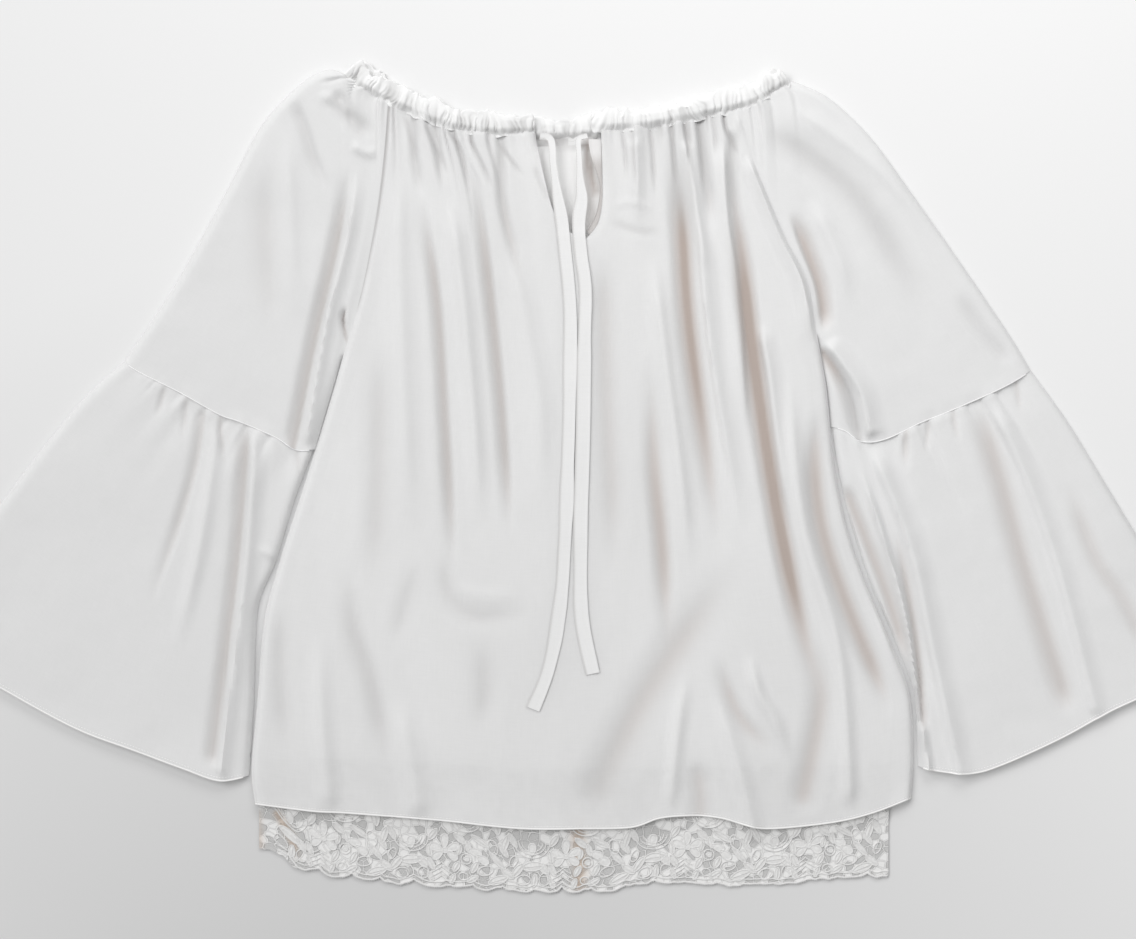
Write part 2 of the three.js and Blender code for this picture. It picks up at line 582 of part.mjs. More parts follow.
/** The outline of a body layer, drawn in by inset from the sides, with or without the slit. */
function bodyOutline({ inset, neckDrop, hem, slit }) {
  const s = SEAM_LINES;
  const lower = ([x, y]) => [x, y - neckDrop];
  const neckLeft = walked(s.neckLeft, NECK_STEPS).slice(1).map(lower);
  const neckRight = walked(s.neckRight, NECK_STEPS).map(lower);
  const notch = [...walked(s.slitLeft, SLIT_STEPS), ...walked([...s.slitRight].reverse(), SLIT_STEPS)];
  const belowNeck = s.neckLeft.at(-1)[1] - neckDrop;
  const across = slit ? notch.slice(1, -1).map(([x, y]) => [x, Math.min(y, belowNeck)]) : [];
  const hemTop = Math.max(...hem.map(([, y]) => y)) + CLEAR_OF_HEM;
  const beside = (edge) => walked(edge, EDGE_STEPS, inset).slice(1).filter(([, y]) => y > hemTop);
  const rightSide = beside([...s.raglanRight, ...s.sideRight.slice(1)]);
  const leftSide = beside([...s.raglanLeft, ...s.sideLeft.slice(1)].reverse());
  return [...neckLeft, ...across, ...neckRight, ...rightSide, ...hem, ...leftSide];
}

/** How far the casing's upper edge bulges at a ring beyond its even swelling. */
const casingBulge = (ring) =>
  CASING_WAVES.reduce((sum, { height, turn, start }) => sum + height * Math.sin(ring * turn + start), 0);

/** A gathered casing along a line: an oval roll whose rings swell and shrink at each gather. */
function casingGeometry(points, { z, pitch, puff }) {
  const path = line(points);
  const stretches = points.slice(1).map(([x, y], i) => Math.hypot(x - points[i][0], y - points[i][1]));
  const length = stretches.reduce((sum, stretch) => sum + stretch, 0);
  const rings = 2 * Math.round(length / pitch);
  const step = 1 / rings;
  const positions = [];
  for (let ring = 0; ring <= rings; ring++) {
    const spot = path(ring * step);
    const [before, after] = [path((ring - 0.5) * step), path((ring + 0.5) * step)];
    const along = after.sub(before).normalize();
    const swell = ring % 2 ? CASING.gather : 0;
    const uneven = casingBulge(ring);
    for (let side = 0; side < CASING.sides; side++) {
      const turn = (2 * Math.PI * (side + 0.5)) / CASING.sides;
      const across = Math.cos(turn) * (CASING.width / 2 + (Math.cos(turn) > 0 ? swell + uneven : 0));
      const lift = clamp(Math.sin(turn) / Math.sin(Math.PI * (0.5 - 0.5 / CASING.sides)), -1, 1);
      const middle = z + CASING.thickness / 2;
      const reach = CASING.thickness / 2 + (lift > 0 ? swell * puff : 0);
      positions.push([spot.x - along.y * across, spot.y + along.x * across, middle + lift * reach]);
    }
  }
  const triangles = [];
  for (let ring = 0; ring < rings; ring++)
    for (let side = 0; side < CASING.sides; side++) {
      const next = (side + 1) % CASING.sides;
      const [a, b] = [ring * CASING.sides, (ring + 1) * CASING.sides];
      triangles.push(a + side, a + next, b + next, a + side, b + next, b + side);
    }
  for (let side = 1; side < CASING.sides - 1; side++) {
    const end = rings * CASING.sides;
    triangles.push(0, side + 1, side, end, end + side, end + side + 1);
  }
  const geometry = new THREE.BufferGeometry();
  geometry.setAttribute("position", new THREE.Float32BufferAttribute(positions.flat(), 3));
  geometry.setIndex(triangles);
  return geometry;
}

/** The shares u, v of a half at which it comes nearest to x, y, found by halving steps. */
function nearestOn(sheet, x, y) {
  const miss = ([u, v]) => Math.hypot(sheet(u, v)[0] - x, sheet(u, v)[1] - y);
  let best = [0.5, 0.5];
  for (let step = 0.25; step > 1e-4; step /= 2)
    for (let again = true; again; ) {
      const [u, v] = best;
      const around = [[u + step, v], [u - step, v], [u, v + step], [u, v - step]];
      const inside = around.map((spot) => spot.map((share) => clamp(share, 0, 1)));
      const next = inside.reduce((p, q) => (miss(q) < miss(p) ? q : p));
      again = miss(next) < miss(best) - 1e-9;
      if (again) best = next;
    }
  return { u: best[0], v: best[1], miss: miss(best) };
}

/** The height of the front's upper skin at x, y, away from its sides. */
function frontSkinAt(x, y) {
  const nearestIn = ({ sheet, raglanShare }) => ({ raglanShare, ...nearestOn(sheet, x, y) });
  const found = FRONT_HALVES.map(nearestIn);
  const { u, v, raglanShare } = found.reduce((p, q) => (q.miss < p.miss ? q : p));
  return frontHeight({ x, y, u, v, fromSide: BODY_LENGTH, raglanShare });
}

/** The facing of the slit's right edge, with the corner of it that is turned out below the casing. */
function slitFacingGeometry() {
  const edge = line(SEAM_LINES.slitRight);
  const rows = Array.from({ length: FRONT_GRID.slitRow }, (_, row) => edge(rowShare(row) / slitShare));
  const tip = rows.at(-1).clone().lerp(edge(1), SLIT_FACING.tipShare);
  const { gap, top } = SLIT_FACING;
  const besideFront = [...rows, tip].map(({ x, y }) => [x - gap, Math.min(y, top)]);
  const geometry = flatLayer([...SLIT_FACING.inner, ...besideFront.reverse()], -WALL);
  const position = geometry.attributes.position;
  for (let i = 0; i < position.count; i++)
    position.setZ(i, position.getZ(i) + frontSkinAt(position.getX(i), position.getY(i)));
  return geometry;
}

/** A tie lying on the front: a flat strip that is narrow where it leaves the casing at headZ. */
function tieGeometry(points, headZ) {
  const path = line(points);
  const ribs = [];
  for (let i = 0; i <= TIE.sections; i++) {
    const share = i / TIE.sections;
    const spot = path(share);
    const along = path(share + 0.01).sub(path(share - 0.01)).normalize();
    const wide = smooth((share - TIE_EASE.widenFrom) / TIE_EASE.widenOver);
    const half = mix(TIE.headWidth, TIE.width, wide) / 2;
    const ends = [-half, half].map((across) => [spot.x + along.y * across, spot.y - along.x * across]);
    const skin = Math.max(...[...ends, [spot.x, spot.y]].map(([x, y]) => frontSkinAt(x, y)));
    ribs.push({ ends, z: mix(headZ, skin + TIE.lift, smooth(share / TIE_EASE.landed)) });
  }
  // The strip is stiff enough to bridge a narrow dip
  const between = (i) => ((ribs[i - 1] ?? ribs[i]).z + (ribs[i + 1] ?? ribs[i]).z) / 2;
  const bridged = ribs.map((rib, i) => Math.max(rib.z, between(i)));
  const upper = ribs.flatMap(({ ends }, i) => ends.map(([x, y]) => [x, y, bridged[i] + TIE.thickness]));
  const lower = ribs.flatMap(({ ends }, i) => ends.map(([x, y]) => [x, y, bridged[i]]));
  const quads = [];
  for (let i = 0; i < TIE.sections; i++) quads.push([2 * i, 2 * i + 1, 2 * i + 3, 2 * i + 2]);
  return closedWall(upper, lower, quads);
}

/** The height of the lace's lower edge at x, scallops included. */
function laceEdge(x) {
  const points = LACE_LINES.bottom;
  const i = clamp(points.findIndex(([px]) => px > x), 1, points.length - 1);
  const [[ax, ay], [bx, by]] = [points[i - 1], points[i]];
  const base = mix(ay, by, clamp((x - ax) / (bx - ax), 0, 1));
  const phase = ((x - LACE_LINES.left) / LACE.scallopWidth) % 1;
  return base + LACE.scallopDepth * (1 - Math.sqrt(Math.abs(Math.sin(Math.PI * phase))));
}

/** One net window as a ring of points. */
function laceWindow(window, startX) {
  const x = startX + window.along;
  const y = laceEdge(x) + window.above;
  return Array.from({ length: WINDOW_POINTS }, (_, i) => {
    const turn = (2 * Math.PI * i) / WINDOW_POINTS;
    const spot = new THREE.Vector2(window.halfWidth * Math.cos(turn), window.halfHeight * Math.sin(turn));
    spot.rotateAround(new THREE.Vector2(), window.turn);
    return [x + spot.x, y + spot.y];
  });
}

/** The lace border of the front or the back of the lining. */
function laceGeometry(z, { corner, inset }) {
  const right = LACE_LINES.bottom.at(-1)[0] - inset;
  const startX = corner ? LACE_LINES.bottom[0][0] : LACE_LINES.left + inset;
  const steps = Math.round(LACE.scallops * LACE.scallopSteps);
  const stops = Array.from({ length: steps + 1 }, (_, i) => mix(startX, right, i / steps));
  const lower = stops.map((x) => [x, laceEdge(x)]);
  const upper = LACE_LINES.top.map(([x, y]) => [clamp(x, LACE_LINES.left + inset, right), y]);
  const side = corner ? LACE_LINES.corner.slice(0, -1) : [];
  const repeat = LACE.scallopsPerRepeat * LACE.scallopWidth;
  const holes = [];
  for (let x = LACE_LINES.left; x < right; x += repeat)
    for (const window of LACE_WINDOWS) {
      const middle = x + window.along;
      const clear = middle > startX + LACE.clearLeft && middle < right - LACE.clearRight;
      if (clear) holes.push(laceWindow(window, x));
    }
  return flatLayer([...side, ...lower, ...upper.reverse()], z, holes);
}

const finish = (name, color, roughness) =>
  new THREE.MeshStandardMaterial({ name, color, roughness, metalness: 0, side: THREE.DoubleSide });
const chiffon = () => finish("chiffon", CLOTH_COLOUR, 0.85);
const satin = () => finish("lining", CLOTH_COLOUR, 0.7);
const lace = () => finish("lace", LACE_COLOUR, 0.9);

const blouse = new THREE.Group();
function addPiece(name, geometry, material) {
  const mesh = new THREE.Mesh(geometry, material);
  mesh.name = name;
  blouse.add(mesh);
}

// The body, from the table up
const reversed = (points) => [...points].reverse();
const { hemLeft, hemRight } = SEAM_LINES;
const hemHalves = [hemRight, hemLeft].flatMap((half) => walked(reversed(half), HEM_STEPS));
const bodyHem = [...hemHalves, hemLeft[0]];
const liningHem = reversed(LACE_LINES.top).map(([x, y]) => [x, y + SEAM_GAP]);
const backCut = { inset: BACK_INSET, neckDrop: 0, hem: bodyHem, slit: false };
const liningCut = { inset: LINING_INSET, neckDrop: LINING_NECK_DROP, hem: liningHem };
addPiece("back_panel", flatLayer(bodyOutline(backCut), 0), chiffon());
addPiece("lining_back", flatLayer(bodyOutline({ ...liningCut, slit: false }), LINING_BACK_Z), satin());
addPiece("lining_front", flatLayer(bodyOutline({ ...liningCut, slit: true }), LINING_FRONT_Z), satin());
addPiece("lace_back", laceGeometry(LINING_BACK_Z, { corner: false, inset: LACE.backInset }), lace());
addPiece("lace_front", laceGeometry(LINING_FRONT_Z, { corner: true, inset: 0 }), lace());
addPiece("front_panel", frontGeometry(), chiffon());

// The sleeves, sewn along the raglan seams down to the armpits, and their flounces
function sleeve(outline, folds, shift) {
  const { neck, middle, cuff } = SLEEVE_REST;
  const fromNeck = (v) => mix(neck, middle, smooth(v / SLEEVE_EASE.neck));
  const free = (u, v) => mix(fromNeck(v), cuff, smooth((v - (1 - SLEEVE_EASE.cuff)) / SLEEVE_EASE.cuff));
  const seamHeight = (v) => {
    const down = v / SLEEVE_OPEN_SHARE;
    return down < 1 ? frontEdgeHeight(down * RAGLAN_SHARE.left, RAGLAN_SHARE.left) : undefined;
  };
  const openRows = SLEEVE_OPEN_ROWS;
  return flatTube({ outline, folds, grid: SLEEVE_GRID, free, seamHeight, shift, openRows });
}
function flounce(outline, folds) {
  const free = (u, v) => mix(FLOUNCE_REST.seam, FLOUNCE_REST.hem, v) + cuffGathers(u, v);
  return flatTube({ outline, folds, grid: FLOUNCE_GRID, free, backDrop: FLOUNCE_BACK_DROP });
}
const toCuff = (outline) => ({ ...outline, hem: outline.cuff });
addPiece("sleeve_left", sleeve(toCuff(SLEEVE_LEFT), SLEEVE_LEFT_FOLDS, -RAGLAN_GAP), chiffon());
addPiece("sleeve_right", sleeve(toCuff(SLEEVE_RIGHT), SLEEVE_RIGHT_FOLDS, RAGLAN_GAP), chiffon());
addPiece("flounce_left", flounce(FLOUNCE_LEFT, FLOUNCE_LEFT_FOLDS), chiffon());
addPiece("flounce_right", flounce(FLOUNCE_RIGHT, FLOUNCE_RIGHT_FOLDS), chiffon());

// The neck
const casingBack = { z: 0, pitch: CASING.backPitch, puff: 0 };
const casingFront = { z: CASING_FRONT_Z, pitch: CASING.gatherPitch, puff: 1 };
addPiece("casing_back", casingGeometry(CASING_LINES.back, casingBack), chiffon());
addPiece("casing_front_left", casingGeometry(CASING_LINES.frontLeft, casingFront), chiffon());
addPiece("casing_front_right", casingGeometry(CASING_LINES.frontRight, casingFront), chiffon());
addPiece("slit_facing", slitFacingGeometry(), chiffon());
const tieHeadZ = CASING_FRONT_Z + TIE_HEAD_RISE;
addPiece("tie_left", tieGeometry(TIE_LINES.left, tieHeadZ), chiffon());
addPiece("tie_right", tieGeometry(TIE_LINES.right, tieHeadZ), chiffon());

blouse.position.y = CENTRE_SHIFT;
export default blouse;
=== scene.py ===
"""A white chiffon off-shoulder blouse laid flat on a pale surface and seen from straight above.

Each panel is a thin cloth on the form of its CAD solid, with the same outline and the same main folds,
and with the finer gathers, hems, stitches and lace that the solids leave out. Tables and sizes are in
millimetres, as the pattern is, and the meshes are in metres. The shadow in a fold is a tint, which a
cloth takes from marks on its own points.
"""

import logging
import math
from collections.abc import Callable, Iterator
from contextlib import contextmanager
from dataclasses import dataclass, field
from enum import Enum
from functools import cache, partial
from typing import NamedTuple

import bpy
import numpy as np
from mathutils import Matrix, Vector
from mathutils.bvhtree import BVHTree


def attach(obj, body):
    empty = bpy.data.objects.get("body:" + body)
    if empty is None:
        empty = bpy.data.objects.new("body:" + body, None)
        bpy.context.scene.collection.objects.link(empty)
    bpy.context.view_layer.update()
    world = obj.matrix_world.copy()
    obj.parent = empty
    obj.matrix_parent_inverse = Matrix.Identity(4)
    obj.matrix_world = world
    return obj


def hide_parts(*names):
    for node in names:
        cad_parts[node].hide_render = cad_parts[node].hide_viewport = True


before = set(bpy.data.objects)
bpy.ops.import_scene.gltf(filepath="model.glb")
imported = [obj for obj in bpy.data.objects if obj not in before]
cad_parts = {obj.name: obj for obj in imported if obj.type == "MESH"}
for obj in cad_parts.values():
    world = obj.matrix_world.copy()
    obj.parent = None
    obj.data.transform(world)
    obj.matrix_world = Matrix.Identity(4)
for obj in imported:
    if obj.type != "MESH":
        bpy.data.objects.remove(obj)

LOG = logging.getLogger("blouse")
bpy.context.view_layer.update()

MM = 0.001
ROOT = "root"
CENTRE_SHIFT = 1.7
CLOTH_THICKNESS = 0.5
LAYER = 1.3
BODY_LENGTH = 590.0
SLEEVE_LENGTH = 300.0
FRONT_LOWEST = 5.0
SLEEVE_LOWEST = 3.0
FOLD_RELIEF = 1.45
DEEPEST_TROUGH = 8.5
UNDER_CASING = 6.0
SLIT_TOP = 279.0
SLIT_END = 199.0
LACE_FLOOR = 1.6
HEM_PITCH = 2.6
HEM_STITCH = 1.9
WAVE_KNOTS = 1024
SWELL_KNOTS = 64
SPLINE_GAIN = 1.6
FOLD_STEPS = 24

Array = np.ndarray
Colour = tuple[float, float, float]
Piece = bpy.types.Object
Points = list[tuple[float, float]]
Socket = bpy.types.NodeSocket
Ground = Callable[[Array], Array]
Place = Callable[[Array, Array], Array]
Shade = Callable[[Array, Array, Array], tuple[Array, Array]]


class Side(Enum):
    """The two sides of the garment as it is looked at."""

    LEFT = "left"
    RIGHT = "right"


# Outlines, as x, y points down or along each edge
NECK_LEFT = [(-146, 312), (-132, 303), (-115, 295), (-98, 290), (-81, 286), (-60, 283), (-21, 285)]
NECK_RIGHT = [(35, 287), (55, 288), (77, 290), (98, 296), (123, 300), (153, 306)]
SLIT_LEFT = [(-21, 285), (-13, 250), (-6, 224), (5, 207), (22, 199)]
SLIT_RIGHT = [(35, 287), (36, 254), (36, 230), (32, 212), (22, 199)]
FACING_EDGE = [(24, 284), (26, 271), (33, 248), (33.5, 236), (31, 222), (26, 211), (22.5, 206)]
CENTRE_FRONT = [(22, 199), (21, 60), (16, -120), (17, -301)]
RAGLAN_LEFT = [(-146, 312), (-149, 272), (-156, 218), (-168, 156), (-183, 103)]
SIDE_LEFT = [
    (-183, 103), (-204, 33), (-222, -24), (-238, -74),
    (-251, -124), (-257, -192), (-262, -250), (-259, -280),
]
RAGLAN_RIGHT = [(153, 306), (161, 273), (177, 233), (192, 198), (209, 165), (217, 122)]
SIDE_RIGHT = [
    (217, 122), (226, 76), (232, 16), (242, -39), (258, -88),
    (280, -141), (297, -186), (300, -240), (298, -275),
]
HEM_LEFT = [(-259, -280), (-212, -286), (-178, -288), (-102, -294), (-34, -301), (17, -301)]
HEM_RIGHT = [
    (17, -301), (60, -300), (85, -292), (112, -290), (136, -292),
    (158, -298), (179, -301), (230, -296), (264, -288), (298, -275),
]

NECK_SEAM = [
    (-185, 340), (-173, 326), (-157, 316), *NECK_LEFT,
    *NECK_RIGHT, (169, 311), (182, 318), (193, 324), (203, 332),
]

SLEEVE_LEFT = {
    "top": [(-146, 312), (-157, 316), (-173, 326), (-180, 334), (-185, 340)],
    "inner": [(-146, 312), (-149, 272), (-156, 218), (-168, 156), (-183, 103), (-195, 63), (-207, 21)],
    "outer": [
        (-185, 340), (-194, 344), (-205, 341), (-221, 331),
        (-253, 297), (-285, 237), (-327, 161), (-370, 96),
    ],
    "bottom": [
        (-207, 21), (-224, 21), (-242, 32), (-272, 45),
        (-289, 51), (-323, 70), (-357, 87), (-370, 96),
    ],
}
FLOUNCE_LEFT = {
    "top": [
        (-210, 19), (-224, 19), (-242, 31), (-272, 44),
        (-289, 50), (-323, 69), (-357, 86), (-371, 95),
    ],
    "inner": [
        (-210, 19), (-225, -22), (-241, -74), (-254, -104),
        (-258, -130), (-260, -192), (-264, -256),
    ],
    "outer": [(-371, 95), (-404, 65), (-442, 19), (-476, -26), (-506, -63), (-554, -117)],
    "bottom": [
        (-264, -256), (-289, -260), (-319, -250), (-365, -233),
        (-408, -217), (-459, -190), (-514, -156), (-554, -117),
    ],
}
SLEEVE_RIGHT = {
    "top": [(153, 306), (169, 311), (182, 318), (193, 324), (203, 332)],
    "inner": [
        (153, 306), (161, 273), (177, 233), (192, 198),
        (209, 165), (217, 122), (226, 76), (230, 40),
    ],
    "outer": [(203, 332), (229, 319), (263, 287), (297, 241), (340, 180), (382, 118), (400, 88)],
    "bottom": [(230, 40), (242, 37), (256, 28), (276, 30), (306, 44), (331, 54), (374, 73), (400, 88)],
}
FLOUNCE_RIGHT = {
    "top": [(231, 39), (242, 36), (256, 27), (276, 29), (306, 43), (331, 53), (374, 72), (401, 87)],
    "inner": [
        (231, 39), (236, 5), (246, -39), (262, -88),
        (284, -141), (300, -184), (303, -220), (304, -248),
    ],
    "outer": [(401, 87), (433, 42), (467, -14), (490, -52), (518, -99), (554, -154)],
    "bottom": [
        (304, -248), (321, -252), (348, -254), (374, -247),
        (425, -224), (467, -201), (523, -175), (554, -154),
    ],
}

CASING_LEFT = [
    (-176, 346), (-166, 335), (-151, 326), (-136, 319), (-119, 311),
    (-100, 304), (-81, 299), (-59, 296), (-38, 296), (-21, 297),
]
CASING_RIGHT = [
    (26, 299), (51, 300), (77, 302), (102, 307), (127, 312),
    (149, 317), (166, 323), (180, 331), (191, 338),
]
CASING_BACK = [
    (-173, 343), (-150, 325), (-119, 310), (-81, 298), (-38, 293),
    (20, 294), (77, 301), (127, 311), (166, 322), (189, 336),
]
TIE_LEFT = [
    (-17, 286), (-8, 283), (-6, 262), (-2, 235), (3, 205), (8, 139),
    (8, 76), (6, 3), (4, -60), (0, -112), (-10, -166), (-23, -199),
]
TIE_RIGHT = [
    (23, 287), (15.5, 284), (15.5, 272), (17, 249), (18.5, 234), (16.5, 219), (16.3, 204), (18, 184),
    (20.5, 166), (21.5, 148), (20.5, 100), (18.5, 0), (17, -80), (19, -125), (28, -169),
]
LACE_TOP = [(-247, -243), (-195, -242), (-102, -246), (-51, -250), (34, -250), (204, -248), (279, -247)]
LACE_BOTTOM = [
    (-240, -318), (-223, -334), (-195, -342), (-144, -347), (-68, -353), (0, -356),
    (34, -355), (77, -347), (150, -349), (187, -349), (221, -345), (279, -342),
]


class Fold(NamedTuple):
    """One fold: four points down its line, its half widths west and east, and how it comes and goes."""

    x0: float
    y0: float
    x1: float
    y1: float
    x2: float
    y2: float
    x3: float
    y3: float
    west: float
    east: float
    rise: float
    head: float
    tail: float


# The main folds of each piece: a trough sinks and a ridge rises
FRONT_TROUGHS = [
    Fold(-118, 240, -104, 150, -97, 50, -89, -92, 11, 6, -4.6, 0.25, 0.3),
    Fold(-76, 280, -63, 190, -50, 70, -41, -60, 11, 6, -4.8, 0.35, 0.25),
    Fold(-49, 280, -49, 233, -38, 185, -24, 140, 8, 8, -3.0, 0.0, 0.6),
    Fold(-124, 300, -124, 275, -121, 255, -117, 232, 7, 7, -2.4, 0.0, 0.4),
    Fold(-106, 293, -104, 275, -101, 255, -97, 235, 6, 6, -2.2, 0.0, 0.5),
    Fold(-150, 114, -153, 46, -155, -39, -160, -107, 20, 20, -1.6, 0.3, 0.3),
    Fold(-180, -75, -174, -130, -158, -180, -143, -255, 18, 12, -2.2, 0.4, 0.3),
    Fold(-235, -110, -237, -160, -235, -200, -230, -240, 16, 14, -1.6, 0.3, 0.3),
    Fold(-99, -66, -93, -103, -70, -121, -20, -116, 14, 12, -1.4, 0.25, 0.4),
    Fold(-68, -138, -64, -170, -64, -195, -66, -222, 17, 17, -1.5, 0.4, 0.4),
    Fold(-117, -70, -127, -100, -134, -125, -138, -152, 16, 16, -1.1, 0.4, 0.4),
    Fold(96, 290, 104, 205, 111, 115, 138, -78, 15, 12, -7.6, 0.25, 0.5),
    Fold(119, 298, 123, 268, 126, 240, 130, 205, 8, 8, -3.6, 0.0, 0.45),
    Fold(147, 292, 146, 258, 150, 215, 158, 160, 9, 9, -3.2, 0.1, 0.4),
    Fold(151, 225, 163, 110, 187, -45, 219, -188, 15, 12, -9.0, 0.2, 0.3),
    Fold(205, -125, 219, -172, 219, -210, 203, -288, 18, 18, -2.8, 0.5, 0.1),
    Fold(77, 110, 80, 10, 87, -65, 92, -155, 13, 12, -4.6, 0.55, 0.35),
    Fold(37, 195, 39, 80, 44, -22, 44, -95, 18, 18, -2.0, 0.2, 0.3),
    Fold(157, -60, 118, -120, 66, -200, 20, -290, 28, 30, -2.2, 0.4, 0.1),
    Fold(136, -150, 142, -180, 156, -210, 187, -240, 14, 10, -2.6, 0.4, 0.4),
    Fold(218, 60, 217, -10, 232, -80, 282, -205, 13, 13, -5.0, 0.25, 0.2),
    Fold(115, -240, 118, -260, 119, -275, 119, -292, 16, 16, -2.2, 0.4, 0.0),
]
FRONT_RIDGES = [
    Fold(-136, 270, -136, 190, -132, 60, -126, -60, 20, 18, 3.0, 0.2, 0.3),
    Fold(-94, 240, -82, 148, -73, 46, -66, -50, 13, 13, 3.6, 0.15, 0.3),
    Fold(-40, 200, -30, 130, -18, 60, -13, -40, 20, 18, 2.6, 0.2, 0.4),
    Fold(-88, -90, -78, -100, -58, -104, -30, -102, 9, 9, 0.8, 0.3, 0.4),
    Fold(-136, -185, -132, -215, -126, -245, -119, -292, 18, 18, 2.6, 0.4, 0.1),
    Fold(-204, -130, -203, -180, -200, -230, -195, -288, 15, 15, 2.6, 0.4, 0.1),
    Fold(62, 285, 64, 260, 65, 235, 66, 205, 10, 10, 2.5, 0.1, 0.5),
    Fold(106, 285, 112, 248, 117, 215, 124, 170, 8, 9, 3.4, 0.1, 0.4),
    Fold(117, 220, 123, 140, 134, 60, 154, -50, 4, 17, 3.6, 0.15, 0.3),
    Fold(138, 282, 142, 215, 152, 150, 158, 30, 17, 4, 3.4, 0.1, 0.3),
    Fold(166, 128, 176, 83, 182, 30, 193, -50, 4, 16, 3.8, 0.1, 0.3),
    Fold(78, 190, 90, 90, 102, 0, 111, -90, 13, 13, 3.6, 0.2, 0.3),
    Fold(160, 272, 184, 212, 207, 156, 214, 108, 14, 3.5, 3.4, 0.1, 0.2),
    Fold(193, 90, 205, -40, 236, -150, 246, -285, 12, 12, 3.4, 0.2, 0.05),
    Fold(234, 5, 247, -48, 268, -108, 290, -185, 9, 8, 3.0, 0.2, 0.3),
    Fold(160, -150, 168, -184, 183, -210, 198, -245, 10, 9, 3.4, 0.3, 0.4),
    Fold(129, -180, 143, -222, 155, -264, 163, -300, 10, 14, 3.0, 0.4, 0.0),
    Fold(110, -158, 102, -201, 97, -243, 93, -290, 11, 11, 2.5, 0.4, 0.2),
]
SLEEVE_LEFT_FOLDS = [
    Fold(-179, 262, -188, 200, -208, 112, -227, 16, 12, 4, -5.8, 0.25, 0.0),
    Fold(-171, 262, -180, 202, -198, 127, -216, 22, 4, 12, 3.6, 0.2, 0.05),
    Fold(-226, 318, -215, 290, -207, 265, -194, 236, 11, 7, -2.4, 0.2, 0.4),
    Fold(-192, 326, -182, 308, -170, 296, -158, 284, 14, 12, -3.0, 0.2, 0.3),
    Fold(-207, 322, -196, 318, -186, 312, -176, 300, 7, 7, 2.0, 0.3, 0.3),
    Fold(-247, 275, -249, 215, -247, 160, -243, 110, 24, 16, -1.5, 0.3, 0.4),
    Fold(-231, 296, -229, 240, -227, 190, -224, 130, 15, 15, 2.0, 0.3, 0.4),
    Fold(-182, 337, -190, 334, -198, 333, -206, 333, 3, 3, -1.5, 0.0, 0.5),
    Fold(-181, 142, -184, 132, -182, 118, -179, 108, 3, 3, -7.0, 0.3, 0.3),
    Fold(-178, 280, -168, 274, -160, 272, -153, 274, 7, 7, 2.2, 0.3, 0.3),
]
FLOUNCE_LEFT_FOLDS = [
    Fold(-258, 41, -261, -10, -268, -95, -288, -250, 5, 14, 3.8, 0.1, 0.0),
    Fold(-265, 42, -268, -10, -276, -95, -295, -250, 12, 4, -4.8, 0.08, 0.05),
    Fold(-302, 57, -308, 12, -324, -45, -350, -118, 10, 4, -2.8, 0.05, 0.5),
    Fold(-290, 48, -296, -5, -308, -75, -328, -160, 11, 12, 2.6, 0.1, 0.4),
    Fold(-288, 48, -288, 36, -286, 22, -284, 4, 4, 4, -2.4, 0.0, 0.6),
    Fold(-317, 64, -318, 52, -319, 40, -321, 24, 4, 4, -2.0, 0.0, 0.6),
    Fold(-336, 74, -337, 66, -339, 58, -341, 46, 4, 4, -2.0, 0.0, 0.6),
    Fold(-224, 19, -222, 10, -220, 2, -217, -6, 4, 4, -1.5, 0.0, 0.6),
    Fold(-258, -64, -250, -66, -244, -70, -240, -73, 6, 6, 1.5, 0.4, 0.3),
]
SLEEVE_RIGHT_FOLDS = [
    Fold(172, 292, 214, 266, 262, 222, 318, 125, 21, 21, -2.8, 0.15, 0.4),
    Fold(190, 315, 228, 290, 276, 252, 322, 195, 14, 14, 2.0, 0.2, 0.4),
    Fold(336, 156, 350, 134, 364, 114, 384, 92, 12, 12, -1.6, 0.3, 0.2),
    Fold(195, 224, 207, 194, 220, 156, 224, 118, 6, 13, -6.2, 0.3, 0.2),
    Fold(210, 236, 226, 205, 238, 175, 245, 140, 12, 16, 2.5, 0.3, 0.4),
    Fold(224, 112, 240, 91, 254, 67, 262, 30, 3.5, 18, 4.2, 0.1, 0.05),
    Fold(219, 109, 235, 88, 247, 65, 255, 30, 12, 3.5, -5.6, 0.1, 0.0),
]
FLOUNCE_RIGHT_FOLDS = [
    Fold(354, 60, 376, -10, 394, -76, 434, -205, 18, 12, -3.8, 0.15, 0.1),
    Fold(364, 62, 395, -5, 422, -82, 452, -198, 6, 16, 3.2, 0.1, 0.0),
    Fold(429, -5, 455, -73, 480, -111, 503, -160, 12, 12, -2.2, 0.3, 0.2),
    Fold(240, -8, 262, -62, 279, -107, 297, -168, 8, 9, -4.6, 0.1, 0.25),
    Fold(252, 12, 275, -58, 293, -125, 312, -250, 6, 6, 4.0, 0.2, 0.0),
    Fold(284, -45, 294, -95, 303, -150, 309, -222, 5, 6, -4.2, 0.3, 0.1),
    Fold(262, 26, 296, -62, 314, -145, 337, -252, 6, 18, 4.0, 0.1, 0.0),
    Fold(293, 38, 293, 28, 293, 16, 294, 2, 5, 5, -2.4, 0.0, 0.6),
    Fold(312, 45, 312, 36, 311, 28, 310, 16, 4, 4, -1.6, 0.0, 0.6),
    Fold(333, 55, 334, 46, 336, 36, 339, 24, 4, 4, -1.6, 0.0, 0.6),
    Fold(387, 79, 388, 70, 390, 60, 391, 50, 4, 4, -1.8, 0.0, 0.6),
]

